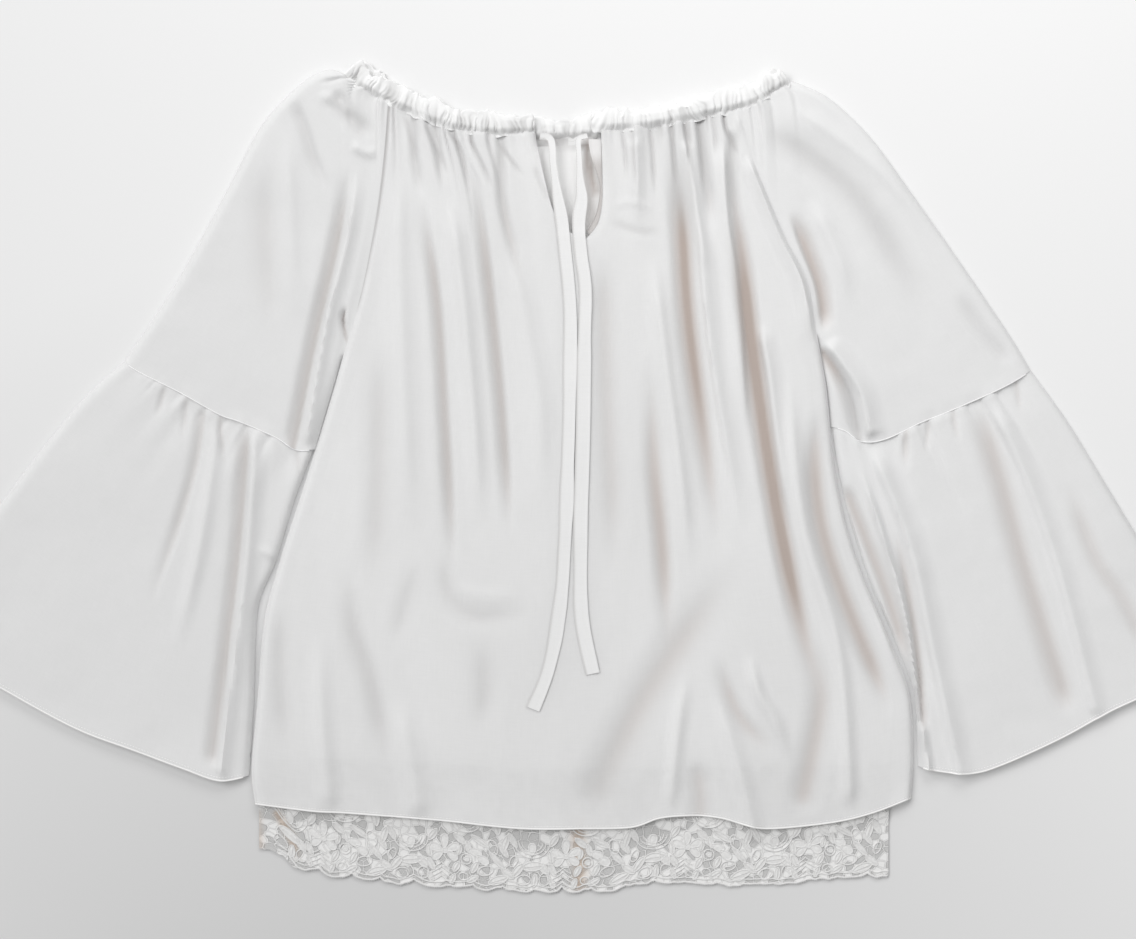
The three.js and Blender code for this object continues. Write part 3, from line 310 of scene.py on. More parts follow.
# Smaller folds and sharp creases that the solids leave out
FRONT_CREASES = [
    Fold(-94, 290, -86, 278, -81, 263, -74, 228, 4, 3, -3.0, 0.0, 0.6),
    Fold(-76, 283, -70, 270, -64, 258, -55, 236, 4, 3, -2.6, 0.0, 0.5),
    Fold(-86, 287, -78, 270, -72, 258, -64, 240, 3, 3, 1.4, 0.1, 0.5),
    Fold(-52, 281, -45, 270, -36, 259, -27, 249, 4, 3, -2.4, 0.0, 0.5),
    Fold(-113, 294, -107, 280, -101, 267, -94, 250, 4, 4, -2.4, 0.0, 0.5),
    Fold(-130, 300, -127, 288, -124, 276, -121, 258, 4, 4, -2.2, 0.0, 0.5),
    Fold(-145, 310, -149, 264, -157, 208, -174, 132, 2.6, 2.6, -4.6, 0.0, 0.1),
    Fold(-149, 310, -154, 262, -162, 205, -179, 132, 2.4, 2.4, 1.4, 0.0, 0.2),
    Fold(53, 288, 55, 274, 56, 262, 57, 246, 3, 3, -2.0, 0.0, 0.5),
    Fold(61, 288, 62, 272, 63, 256, 65, 236, 4, 3, -2.0, 0.0, 0.5),
    Fold(77, 290, 79, 272, 80, 256, 82, 230, 4, 3, -2.4, 0.0, 0.5),
    Fold(94, 295, 96, 278, 98, 256, 101, 228, 4, 3, -3.4, 0.0, 0.5),
    Fold(105, 296, 108, 284, 109, 272, 110, 256, 3, 3, -2.0, 0.0, 0.5),
    Fold(117, 299, 119, 284, 121, 262, 124, 232, 4, 3, -3.6, 0.0, 0.5),
    Fold(129, 301, 131, 290, 132, 280, 132, 266, 3, 3, -2.2, 0.0, 0.5),
    Fold(139, 302, 141, 292, 146, 282, 151, 268, 4, 3, -4.0, 0.0, 0.4),
    Fold(148, 304, 158, 286, 168, 262, 180, 226, 5, 4, 2.4, 0.1, 0.4),
    Fold(-22, 262, -16, 246, -10, 236, -2, 226, 5, 4, -1.4, 0.2, 0.4),
    Fold(40, 215, 56, 208, 72, 204, 90, 206, 6, 6, -1.2, 0.3, 0.4),
    Fold(42, 226, 58, 230, 74, 226, 86, 219, 5, 5, 1.0, 0.3, 0.4),
]

# Where the cloth seen through the slit lies in shadow
SLIT_SHADOWS = [
    Fold(-20, 284, 0, 283, 20, 282, 30, 280, 8, 9, -7.0, 0.0, 0.0),
    Fold(22, 284, 24, 268, 28, 250, 33, 232, 7, 7, -8.0, 0.0, 0.2),
    Fold(20, 270, 23, 245, 27, 225, 29, 205, 14, 10, -4.0, 0.1, 0.1),
    Fold(-17, 280, -12, 250, -7, 228, -4, 205, 6, 6, -4.5, 0.1, 0.1),
    Fold(3, 290, 4, 265, 6, 235, 12, 200, 18, 14, -2.4, 0.0, 0.0),
]


# Lines, patches and waves that the pieces are worked out from


def smooth(t: Array | float) -> Array:
    """A soft step from 0 to 1."""
    t = np.clip(t, 0.0, 1.0)
    return t * t * (3 - 2 * t)


def mix(a: Array | float, b: Array | float, t: Array | float) -> Array:
    """A value between a and b."""
    return a + (b - a) * t


class Line:
    """A smooth line through points, read by its share of length from 0 to 1."""

    STEPS = 24

    def __init__(self, points: Points | Array) -> None:
        """Samples the line.

        Args:
            points: the x, y points that it goes through, in millimetres.
        """
        given = np.array(points, float)
        padded = np.vstack([given[0], given, given[-1]])
        t = np.linspace(0, 1, self.STEPS, endpoint=False)[:, None]
        parts = []
        for i in range(len(given) - 1):
            a, b, c, d = padded[i : i + 4]
            ease_in, ease_out = (c - a) / 2, (d - b) / 2
            cubic = (2 * b - 2 * c + ease_in + ease_out) * t**3
            square = (-3 * b + 3 * c - 2 * ease_in - ease_out) * t**2
            parts.append(cubic + square + ease_in * t + b)
        self.spots = np.vstack([*parts, given[-1:]])
        run = np.hypot(*np.diff(self.spots, axis=0).T)
        self.lengths = np.concatenate([[0], np.cumsum(run)])
        self.length = self.lengths[-1]

    def at(self, share: Array | float) -> Array:
        """The points at these shares, as rows of x, y."""
        run = np.clip(share, 0, 1) * self.length
        return np.stack([np.interp(run, self.lengths, self.spots[:, k]) for k in (0, 1)], axis=-1)

    def across(self, share: Array) -> Array:
        """The unit vectors to the left of the line at these shares.

        Args:
            share: shares of the line's length.

        Returns:
            Rows of x, y.
        """
        step = 0.5 / self.length
        along = self.at(share + step) - self.at(share - step)
        along /= np.linalg.norm(along, axis=-1, keepdims=True)
        return np.stack([-along[..., 1], along[..., 0]], axis=-1)


class JoinedLine:
    """Two lines end to end, with the join at a share."""

    def __init__(self, first: Line, second: Line, share: float) -> None:
        """Keeps both lines and the share at which they meet."""
        self.first, self.second, self.share = first, second, share

    def at(self, share: Array | float) -> Array:
        """The points at these shares, as rows of x, y.

        Args:
            share: shares down both lines.

        Returns:
            Rows of x, y.
        """
        t = np.asarray(share, float)
        before = self.first.at(t / self.share)
        after = self.second.at((t - self.share) / (1 - self.share))
        return np.where((t < self.share)[..., None], before, after)


@dataclass
class Patch:
    """The sheet between four edge lines: u runs from left to right and v from top to bottom."""

    top: Line
    bottom: Line
    left: Line | JoinedLine
    right: Line | JoinedLine

    def at(self, u: Array, v: Array) -> Array:
        """The points at these shares, as rows of x, y.

        Args:
            u: shares across.
            v: shares down.

        Returns:
            Rows of x, y.
        """
        u, v = np.broadcast_arrays(np.asarray(u, float), np.asarray(v, float))
        s, t = u[..., None], v[..., None]
        across = mix(self.left.at(v), self.right.at(v), s)
        down = mix(self.top.at(u), self.bottom.at(u), t)
        a, b = self.top.at(0.0), self.top.at(1.0)
        c, d = self.bottom.at(0.0), self.bottom.at(1.0)
        return across + down - mix(mix(a, b, s), mix(c, d, s), t)


def ripple(run: Array, wavelength: float, seed: int) -> Array:
    """A smooth uneven wave between about -1 and 1.

    Args:
        run: where to read it, in millimetres.
        wavelength: the mean distance between its crests, in millimetres.
        seed: which wave it is.

    Returns:
        The wave's height at each place.
    """
    knots = np.random.default_rng(seed).uniform(-1, 1, WAVE_KNOTS)
    step = run / wavelength * 2
    low = np.floor(step).astype(int)
    t = step - low
    a, b, c, d = (knots[(low + k) % WAVE_KNOTS] for k in (-1, 0, 1, 2))
    curve = (-a + 3 * b - 3 * c + d) * t**3 + (3 * a - 6 * b + 3 * c) * t**2 + (-3 * a + 3 * c) * t
    return (curve + a + 4 * b + c) / 6 * SPLINE_GAIN


def creases(run: Array, wavelength: float, seed: int, sharpness: float = 0.17) -> Array:
    """Narrow uneven valleys, from 0 on the flat to -1 at the bottom of each."""
    return -np.exp(-((ripple(run, wavelength, seed) / sharpness) ** 2))


class Wave(NamedTuple):
    """One uneven wave of the gathers below a seam, and how far down it reaches."""

    height: float
    wavelength: float
    seed: int
    reach: float
    fall: float


# The waves of the gathers, and the depth of the sharp valleys between them
NECK_WAVES = [Wave(0.45, 4.5, 11, 6, 1.2), Wave(1.4, 10, 12, 22, 1.2), Wave(2.1, 19, 13, 60, 1.4)]
CUFF_WAVES = [Wave(0.4, 5, 2, 9, 1.2), Wave(1.7, 17, 3, 45, 1.3)]
NECK_VALLEY = 2.4
CUFF_VALLEY = 1.9


def gathers(waves: list[Wave], run: Array, down: Array, seed: int = 0) -> Array:
    """The uneven waves of the cloth gathered into a seam.

    Args:
        waves: the table.
        run: the place along the seam, in millimetres.
        down: the distance below it.
        seed: what each wave's own seed is added to.

    Returns:
        What they add to the height.
    """
    total = 0.0
    for wave in waves:
        fading = np.exp(-((down / wave.reach) ** wave.fall))
        total = total + wave.height * ripple(run, wave.wavelength, seed + wave.seed) * fading
    return total


def neck_lines(x: Array, y: Array) -> tuple[Array, Array]:
    """Where places lie below the neck's seam.

    Args:
        x: places across, in millimetres.
        y: places up.

    Returns:
        The place along the seam that the cloth hangs from, and the distance below it.
    """
    seam = Line(NECK_SEAM)
    down = np.maximum(np.interp(x, seam.spots[:, 0], seam.spots[:, 1]) - y, 0)
    lean_left, lean_right, straight_below = 0.26, 0.08, 60
    slant = mix(lean_left * smooth((x + 150) / 50), lean_right, smooth((x + 30) / 60))
    run = np.interp(x - slant * np.minimum(down, straight_below), seam.spots[:, 0], seam.lengths)
    return run + 1.2 * ripple(down, 60, 3) * smooth(down / 50), down


def gather_valleys(run: Array, down: Array) -> Array:
    """The sharp valleys between the neck's gathers, from 0 to -1, which die out at uneven lengths."""
    reach = 10 + 36 * smooth(0.4 + ripple(run, 23, 14))
    return creases(run, 14, 15, 0.2) * np.exp(-((down / reach) ** 1.6))


def neck_gathers(run: Array, down: Array) -> Array:
    """What the neck's gathers add to the height: the casing and the cloth below share them."""
    return gathers(NECK_WAVES, run, down) + NECK_VALLEY * gather_valleys(run, down)


def rounded(t: Array | float) -> Array:
    """A quarter circle from 0, where it is steep, to 1, where it is level."""
    return np.sqrt(1 - (1 - np.clip(t, 0, 1)) ** 2)


def swell(x: Array, y: Array, size: float, seed: int) -> Array:
    """A smooth uneven surface between about -1 and 1, with swells of a size in millimetres.

    Args:
        x: places across, in millimetres.
        y: places up.
        size: how far apart the swells are.
        seed: which surface it is.

    Returns:
        Its height at each place.
    """
    knots = np.random.default_rng(seed).uniform(-1, 1, (SWELL_KNOTS, SWELL_KNOTS))
    i, j = np.floor(x / size).astype(int), np.floor(y / size).astype(int)
    s, t = smooth(x / size - i), smooth(y / size - j)
    i, j, after, beyond = (k % SWELL_KNOTS for k in (i, j, i + 1, j + 1))
    near = mix(knots[i, j], knots[after, j], s)
    far = mix(knots[i, beyond], knots[after, beyond], s)
    return mix(near, far, t)


def bell(away: Array, width: Array) -> Array:
    """A rounded bump that is 1 in the middle and 0 from a width on."""
    return 0.5 * (1 + np.cos(math.pi * np.clip(away / width, 0, 1)))


def fold_heights(folds: list[Fold], x: Array, y: Array) -> Array:
    """What a table of folds adds to the height of a cloth.

    Args:
        folds: the table.
        x: places across, in millimetres.
        y: places up, in millimetres.

    Returns:
        The added height at each place.
    """
    total = np.zeros_like(x)
    for fold in folds:
        path = Line([(fold.x0, fold.y0), (fold.x1, fold.y1), (fold.x2, fold.y2), (fold.x3, fold.y3)])
        spots = path.at(np.linspace(0, 1, FOLD_STEPS + 1))
        reach = max(fold.west, fold.east)
        low, high = spots.min(axis=0) - reach, spots.max(axis=0) + reach
        near = np.nonzero((x > low[0]) & (x < high[0]) & (y > low[1]) & (y < high[1]))
        if not near[0].size:
            continue
        px, py = x[near], y[near]
        away = np.full(px.shape, np.inf)
        side, share = np.ones(px.shape), np.zeros(px.shape)
        for i, (start, end) in enumerate(zip(spots[:-1], spots[1:])):
            run = end - start
            fx, fy = px - start[0], py - start[1]
            t = np.clip((fx * run[0] + fy * run[1]) / (run @ run), 0, 1)
            gap = np.hypot(fx - t * run[0], fy - t * run[1])
            closer = gap < away
            away = np.where(closer, gap, away)
            side = np.where(closer, run[0] * fy - run[1] * fx, side)
            share = np.where(closer, (i + t) / FOLD_STEPS, share)
        width = np.where(side > 0, fold.east, fold.west)
        form = 0.72 * bell(away, width) + 0.28 * bell(away, 0.5 * width)
        coming = smooth(share / fold.head) if fold.head else 1.0
        going = smooth((1 - share) / fold.tail) if fold.tail else 1.0
        total[near] += fold.rise * coming * going * form
    return total


def soft_floor(height: Array, floor: float, softness: float = 1.2) -> Array:
    """Keeps a height above a floor, with a soft corner between the two."""
    return floor + softness * np.log1p(np.exp(np.clip((height - floor) / softness, -30, 30)))


def trough_shade(folds: list[Fold], x: Array, y: Array, deepest: float = DEEPEST_TROUGH) -> Array:
    """How strongly the troughs of a table take painted shade, from 0 to 1 at the deepest."""
    return np.clip(-fold_heights([fold for fold in folds if fold.rise < 0], x, y) / deepest, 0, 1)


def slit_shade(x: Array, y: Array, _z: Array) -> tuple[Array, Array]:
    """The painted shade of the layers that lie in the slit's shadow, and how warm it is."""
    return trough_shade(SLIT_SHADOWS, x, y), 0.5 * smooth((x - 14) / 10)


# Ways of making and finishing a mesh


def deselect_all() -> None:
    """Leaves nothing selected."""
    for other in bpy.context.selected_objects:
        other.select_set(False)


def only(piece: Piece) -> None:
    """Selects one piece and makes it active."""
    deselect_all()
    piece.select_set(True)
    bpy.context.view_layer.objects.active = piece


@contextmanager
def editing(piece: Piece) -> Iterator[None]:
    """Opens one piece in edit mode with all of it selected.

    Args:
        piece: the piece.
    """
    only(piece)
    bpy.ops.object.mode_set(mode="EDIT")
    bpy.ops.mesh.select_all(action="SELECT")
    yield
    bpy.ops.object.mode_set(mode="OBJECT")


def in_metres(points: Array) -> Array:
    """Points of the pattern, in the frame's own metres."""
    return (points + (0, CENTRE_SHIFT, 0)) * MM


def numbers_of(items: bpy.types.bpy_prop_collection, name: str, size: int) -> Array:
    """One property of a mesh's points, faces or corners, with a row for each."""
    flat = np.empty(len(items) * size)
    items.foreach_get(name, flat)
    return flat.reshape(-1, size)


def grid_piece(name: str, columns: int, rows: int, place: Place, cut: tuple[float, float]) -> Piece:
    """A sheet from a grid, whose points are placed by their shares u across and v down.

    Args:
        name: the piece's name.
        columns: faces across.
        rows: faces down.
        place: gives the points in millimetres for arrays of u and v.
        cut: the cloth's width and length in millimetres, which the UV map holds in metres.

    Returns:
        The new object, with its place in its mesh.
    """
    deselect_all()
    bpy.ops.mesh.primitive_grid_add(x_subdivisions=columns, y_subdivisions=rows, size=1, calc_uvs=True)
    piece = bpy.context.object
    piece.name = piece.data.name = name
    mesh = piece.data
    flat = numbers_of(mesh.vertices, "co", 3)
    u, v = np.clip(flat[:, 0] + 0.5, 0, 1), np.clip(0.5 - flat[:, 1], 0, 1)
    mesh.vertices.foreach_set("co", in_metres(place(u, v)).ravel())
    corners = np.empty(len(mesh.loops), int)
    mesh.loops.foreach_get("vertex_index", corners)
    cloth = np.stack([u * cut[0], v * cut[1]], axis=-1)[corners] * MM
    mesh.uv_layers[0].data.foreach_set("uv", cloth.ravel())
    mesh.update()
    return piece


def face_up(piece: Piece, above: float = -math.inf) -> None:
    """Turns the faces over if those above a height in millimetres look down.

    Args:
        piece: the piece.
        above: the height from which its faces count.
    """
    upper = numbers_of(piece.data.polygons, "center", 3)[:, 2] > above * MM
    if numbers_of(piece.data.polygons, "normal", 3)[upper, 2].mean() < 0:
        with editing(piece):
            bpy.ops.mesh.flip_normals()


def merge_doubles(piece: Piece, distance: float = 0.02) -> None:
    """Joins points that lie within a distance in millimetres."""
    with editing(piece):
        bpy.ops.mesh.remove_doubles(threshold=distance * MM)


def thicken(piece: Piece, thickness: float = CLOTH_THICKNESS) -> None:
    """Gives a sheet its thickness, in millimetres, on its inner side.

    Args:
        piece: the piece.
        thickness: its new thickness.
    """
    only(piece)
    wall = piece.modifiers.new("Wall", "SOLIDIFY")
    wall.thickness = thickness * MM
    wall.offset = -1
    bpy.ops.object.modifier_apply(modifier=wall.name)


def join(pieces: list[Piece], name: str, distance: float = 0.02) -> Piece:
    """Makes several sheets one, joined where their points lie within a distance, and facing up.

    Args:
        pieces: the sheets.
        name: the new piece's name.
        distance: in millimetres.

    Returns:
        The one piece.
    """
    only(pieces[0])
    for other in pieces[1:]:
        other.select_set(True)
    bpy.ops.object.join()
    piece = bpy.context.object
    piece.name = piece.data.name = name
    merge_doubles(piece, distance)
    face_up(piece)
    return piece


def shade_smooth(piece: Piece, angle: float = 60) -> None:
    """Shades a piece smooth but for edges sharper than an angle in degrees."""
    only(piece)
    bpy.ops.object.shade_smooth_by_angle(angle=math.radians(angle))


def dress(piece: Piece, material: bpy.types.Material, node: str = "") -> None:
    """Gives a piece its material and its body, and hides the CAD part that it stands for.

    Args:
        piece: the piece.
        material: its finish.
        node: the CAD node, or nothing where it only adds to another piece.
    """
    piece.data.materials.clear()
    piece.data.materials.append(material)
    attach(piece, ROOT)
    if node:
        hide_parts(node)
    LOG.info("%s: %d faces", piece.name, len(piece.data.polygons))


def mark_painted_shade(piece: Piece, shade: Shade) -> None:
    """Marks where a piece takes its painted shade, and how warm that painted shade is there.

    Args:
        piece: the piece.
        shade: gives both marks, from 0 to 1, at x, y and z in millimetres of the pattern.
    """
    x, y, z = numbers_of(piece.data.vertices, "co", 3).T / MM
    for name, marks in zip(("painted_shade", "warmth"), shade(x, y - CENTRE_SHIFT, z)):
        marks = np.broadcast_to(np.clip(marks, 0, 1), x.shape).astype(np.float32)
        piece.data.attributes.new(name, "FLOAT", "POINT").data.foreach_set("value", marks)


def finish_cloth(piece: Piece, shade: Shade, thickness: float = CLOTH_THICKNESS) -> None:
    """Marks where a sheet takes its painted shade, gives it its thickness and shades it smooth."""
    mark_painted_shade(piece, shade)
    thicken(piece, thickness)
    shade_smooth(piece)


def mesh_piece(name: str, points: Array, faces: list[tuple[int, ...]]) -> Piece:
    """A piece from points in millimetres and faces.

    Args:
        name: its name.
        points: rows of x, y, z.
        faces: the points of each face.

    Returns:
        The new object.
    """
    mesh = bpy.data.meshes.new(name)
    mesh.from_pydata(in_metres(points).tolist(), [], faces)
    mesh.update()
    piece = bpy.data.objects.new(name, mesh)
    bpy.context.collection.objects.link(piece)
    return piece


class Strand(NamedTuple):
    """The points and faces of a thread or roll along a line."""

    points: Array
    faces: list[tuple[int, ...]]


def strand(
    path: Array, half_width: float, half_height: float, sides: int = 6, closed: bool = False
) -> Strand:
    """A flattened roll along a line that lies nearly level.

    Args:
        path: rows of x, y, z in millimetres.
        half_width: its reach to each side.
        half_height: its reach up and down.
        sides: the faces round it.
        closed: True for a ring.

    Returns:
        Its points and faces, capped at the ends unless it is a ring.
    """
    count = len(path)
    if closed:
        along = np.roll(path, -1, axis=0) - np.roll(path, 1, axis=0)
    else:
        along = np.gradient(path, axis=0)
    across = np.stack([-along[:, 1], along[:, 0]], axis=-1)
    across /= np.maximum(np.linalg.norm(across, axis=-1, keepdims=True), 1e-9)
    turn = 2 * math.pi * (np.arange(sides) + 0.5) / sides
    flat = path[:, None, :2] + across[:, None] * (half_width * np.cos(turn))[None, :, None]
    height = path[:, None, 2] + (half_height * np.sin(turn))[None]
    points = np.concatenate([flat, height[..., None]], axis=-1).reshape(-1, 3)
    rings = np.arange(count if closed else count - 1)
    ring, side = np.meshgrid(rings, np.arange(sides), indexing="ij")
    here, there, beside = ring * sides, (ring + 1) % count * sides, (side + 1) % sides
    quads = np.stack([here + side, here + beside, there + beside, there + side], axis=-1)
    faces = [tuple(quad) for quad in quads.reshape(-1, 4).tolist()]
    if not closed:
        faces.append(tuple(range(sides))[::-1])
        faces.append(tuple((count - 1) * sides + k for k in range(sides)))
    return Strand(points, faces)


def strands_piece(name: str, parts: list[Strand]) -> Piece:
    """One piece from many strands.

    Args:
        name: its name.
        parts: the strands.

    Returns:
        The new object.
    """
    points, faces, start = [], [], 0
    for part in parts:
        points.append(part.points)
        faces.extend(tuple(i + start for i in face) for face in part.faces)
        start += len(part.points)
    return mesh_piece(name, np.vstack(points), faces)


def roll_piece(
    name: str, spots: Array, heights: Array, size: tuple[float, float], material: bpy.types.Material
) -> Piece:
    """A roll of cloth, such as a hem.

    Args:
        name: the piece's name.
        spots: rows of x, y along it, in millimetres.
        heights: the height of its middle at each.
        size: half its width and half its height.
        material: its finish.

    Returns:
        The new object.
    """
    piece = strands_piece(name, [strand(np.column_stack([spots, heights]), *size, sides=8)])
    shade_smooth(piece)
    dress(piece, material)
    return piece


def stitch_row(path: Array, pitch: float, length: float, half: float = 0.16) -> list[Strand]:
    """A row of stitches on a line.

    Args:
        path: rows of x, y, z in millimetres.
        pitch: the distance from stitch to stitch.
        length: how long a stitch is.
        half: half its thickness.

    Returns:
        One strand for each stitch, which is sunk at both ends.
    """
    run = np.concatenate([[0], np.cumsum(np.linalg.norm(np.diff(path, axis=0), axis=1))])
    stitches = []
    for start in np.arange(pitch / 2, run[-1] - length, pitch):
        spots = start + length * np.array([0, 0.3, 0.7, 1])
        line = np.stack([np.interp(spots, run, path[:, k]) for k in range(3)], axis=-1)
        line[[0, -1], 2] -= 0.2
        stitches.append(strand(line, half, half * 0.8, sides=4))
    return stitches


def hem_stitches(name: str, spots: Array, ground: Ground, thread: bpy.types.Material) -> Piece:
    """The row of stitches that holds a hem.

    Args:
        name: the piece's name.
        spots: rows of x, y along it, in millimetres.
        ground: reads the height of the cloth.
        thread: its finish.

    Returns:
        The new object, without stitches where there is no cloth.
    """
    line = np.column_stack([spots, ground(spots) + 0.05])
    line = line[~np.isnan(line[:, 2])]
    piece = strands_piece(name, stitch_row(line, HEM_PITCH, HEM_STITCH))
    dress(piece, thread)
    return piece


def ground_of(piece: Piece) -> Ground:
    """Reads the height of a piece's upper skin at places in millimetres.

    Args:
        piece: the piece.

    Returns:
        A function of rows of x, y that gives their heights.
    """
    tree = BVHTree.FromObject(piece, bpy.context.evaluated_depsgraph_get())

    def read(places: Array) -> Array:
        """The height in millimetres at rows of x, y, or not a number beside the piece."""
        spots = in_metres(np.column_stack([places, np.full(len(places), 100.0)]))
        hits = [tree.ray_cast(Vector(spot), Vector((0, 0, -1)))[0] for spot in spots]
        return np.array([math.nan if hit is None else hit.z / MM for hit in hits])

    return read


def filled(heights: Array) -> Array:
    """Heights along a line, with those beside the piece taken from their neighbours."""
    place, known = np.arange(len(heights)), ~np.isnan(heights)
    return np.interp(place, place[known], heights[known])


# Finishes


def new_group(name: str, inputs: dict[str, str], outputs: tuple[str, str]) -> bpy.types.NodeTree:
    """An empty shader node group.

    Args:
        name: its name.
        inputs: the kind of each input socket by its name.
        outputs: the names of its outputs, which are numbers.

    Returns:
        The group, with its input and output nodes.
    """
    group = bpy.data.node_groups.new(name, "ShaderNodeTree")
    for title, kind in inputs.items():
        group.interface.new_socket(title, in_out="INPUT", socket_type=kind)
    for title in outputs:
        group.interface.new_socket(title, in_out="OUTPUT", socket_type="NodeSocketFloat")
    group.nodes.new("NodeGroupInput")
    group.nodes.new("NodeGroupOutput")
    return group


class Wiring:
    """Adds nodes to a tree and links them in one line each."""

    def __init__(self, tree: bpy.types.NodeTree) -> None:
        """Keeps the tree."""
        self.tree = tree

    def node(
        self, kind: str, inputs: dict[str | int, object] | None = None, **settings: object
    ) -> bpy.types.Node:
        """A new node, with its inputs set to values or linked from sockets.

        Args:
            kind: the node's type name.
            inputs: values or output sockets by the input's name or place.
            settings: the node's own properties.

        Returns:
            The new node.
        """
        made = self.tree.nodes.new(kind)
        for name, value in settings.items():
            setattr(made, name, value)
        for key, value in (inputs or {}).items():
            if isinstance(value, Socket):
                self.tree.links.new(value, made.inputs[key])
            else:
                made.inputs[key].default_value = value
        return made

    def calc(self, operation: str, a: object, b: object = 0.0) -> Socket:
        """One step of arithmetic on two values or sockets."""
        return self.node("ShaderNodeMath", {0: a, 1: b}, operation=operation).outputs[0]

    def blend(self, share: object, a: object, b: object, blend_type: str = "MIX") -> Socket:
        """A colour between two, each a colour or a socket."""
        first, second = (end if isinstance(end, Socket) else (*end, 1) for end in (a, b))
        inputs = {0: share, 6: first, 7: second}
        return self.node("ShaderNodeMix", inputs, data_type="RGBA", blend_type=blend_type).outputs[2]

    def noise(self, place: Socket, scale: float, detail: float = 2.0) -> bpy.types.Node:
        """A noise texture."""
        return self.node("ShaderNodeTexNoise", {"Vector": place, "Scale": scale, "Detail": detail})

    def cells(self, place: Socket, scale: float, **settings: object) -> bpy.types.Node:
        """Uneven cells on a level surface."""
        inputs = {"Vector": place, "Scale": scale}
        return self.node("ShaderNodeTexVoronoi", inputs, voronoi_dimensions="2D", **settings)

    def mark(self, name: str) -> Socket:
        """What an attribute of the piece's points says."""
        return self.node("ShaderNodeAttribute", attribute_name=name).outputs["Fac"]

    def bump(self, height: Socket, strength: float, distance: float) -> Socket:
        """A relief with a depth in millimetres."""
        inputs = {"Strength": strength, "Distance": distance * MM, "Height": height}
        return self.node("ShaderNodeBump", inputs).outputs[0]

    def surface(self, inputs: dict[str, object]) -> None:
        """Adds the shader with its inputs, and the material's output."""
        shader = self.node("ShaderNodeBsdfPrincipled", inputs)
        self.node("ShaderNodeOutputMaterial", {0: shader.outputs[0]})

    def ends(self) -> tuple[bpy.types.Node, bpy.types.Node]:
        """The group's own input and output nodes."""
        kinds = {made.bl_idname: made for made in self.tree.nodes}
        return kinds["NodeGroupInput"], kinds["NodeGroupOutput"]

    def give(self, results: dict[str, Socket]) -> None:
        """Links the group's outputs by their names."""
        for title, socket in results.items():
            self.tree.links.new(socket, self.ends()[1].inputs[title])


def new_material(name: str) -> tuple[bpy.types.Material, Wiring]:
    """A material with no nodes yet, and their wiring.

    Args:
        name: its name.

    Returns:
        The material and its wiring.
    """
    made = bpy.data.materials.new(name)
    made.use_nodes = True
    made.node_tree.nodes.clear()
    return made, Wiring(made.node_tree)


@cache
def weave_group() -> bpy.types.NodeTree:
    """A plain weave: fine crossing threads, uneven in tone and thickness, on the piece's UV map.

    Returns:
        The group, which is made only once.
    """
    inputs = {"Vector": "NodeSocketVector", "Threads": "NodeSocketFloat", "Slub": "NodeSocketFloat"}
    group = new_group("Plain weave", inputs, ("Height", "Tone"))
    wiring = Wiring(group)
    source = wiring.ends()[0].outputs
    parts = wiring.node("ShaderNodeSeparateXYZ", {0: source["Vector"]}).outputs
    turns = wiring.calc("MULTIPLY", source["Threads"], 2 * math.pi)
    warp, weft = (wiring.calc("SINE", wiring.calc("MULTIPLY", parts[k], turns)) for k in (0, 1))
    threads = wiring.calc("ADD", wiring.calc("MULTIPLY", warp, weft), 1.0)
    along, across = 60, 900
    streaks = []
    for scale in ((along, across, 1), (across, along, 1)):
        drawn = wiring.node("ShaderNodeMapping", {0: source["Vector"], "Scale": scale})
        streaks.append(wiring.noise(drawn.outputs[0], 1.0).outputs[0])
    uneven = wiring.calc("SUBTRACT", wiring.calc("ADD", *streaks), 1.0)
    slub = wiring.calc("MULTIPLY", uneven, source["Slub"])
    height = wiring.calc("ADD", wiring.calc("MULTIPLY", threads, 0.5), slub)
    wiring.give({"Height": height, "Tone": wiring.calc("ADD", slub, 1.0)})
    return group


@cache
def net_group() -> bpy.types.NodeTree:
    """A fine net of crossing threads, as a mask that is 1 on a thread and 0 in a gap.

    Returns:
        The group, which is made only once.
    """
    inputs = {"Vector": "NodeSocketVector", "Cell": "NodeSocketFloat", "Thread": "NodeSocketFloat"}
    group = new_group("Fine net", inputs, ("Mask",))
    wiring = Wiring(group)
    source = wiring.ends()[0].outputs
    parts = wiring.node("ShaderNodeSeparateXYZ", {0: source["Vector"]}).outputs
    turns = wiring.calc("DIVIDE", math.pi, source["Cell"])
    slope, sharpness = 0.6, 8.0
    threads = []
    for sign in (1, -1):
        slanted = wiring.calc("ADD", parts[0], wiring.calc("MULTIPLY", parts[1], slope * sign))
        wave = wiring.calc("COSINE", wiring.calc("MULTIPLY", slanted, turns))
        threads.append(wiring.calc("ABSOLUTE", wave))
    edge = wiring.calc("SUBTRACT", 1.0, source["Thread"])
    near = wiring.calc("SUBTRACT", wiring.calc("MAXIMUM", *threads), edge)
    mask = wiring.node("ShaderNodeClamp", {0: wiring.calc("MULTIPLY", near, sharpness)})
    wiring.give({"Mask": mask.outputs[0]})
    return group


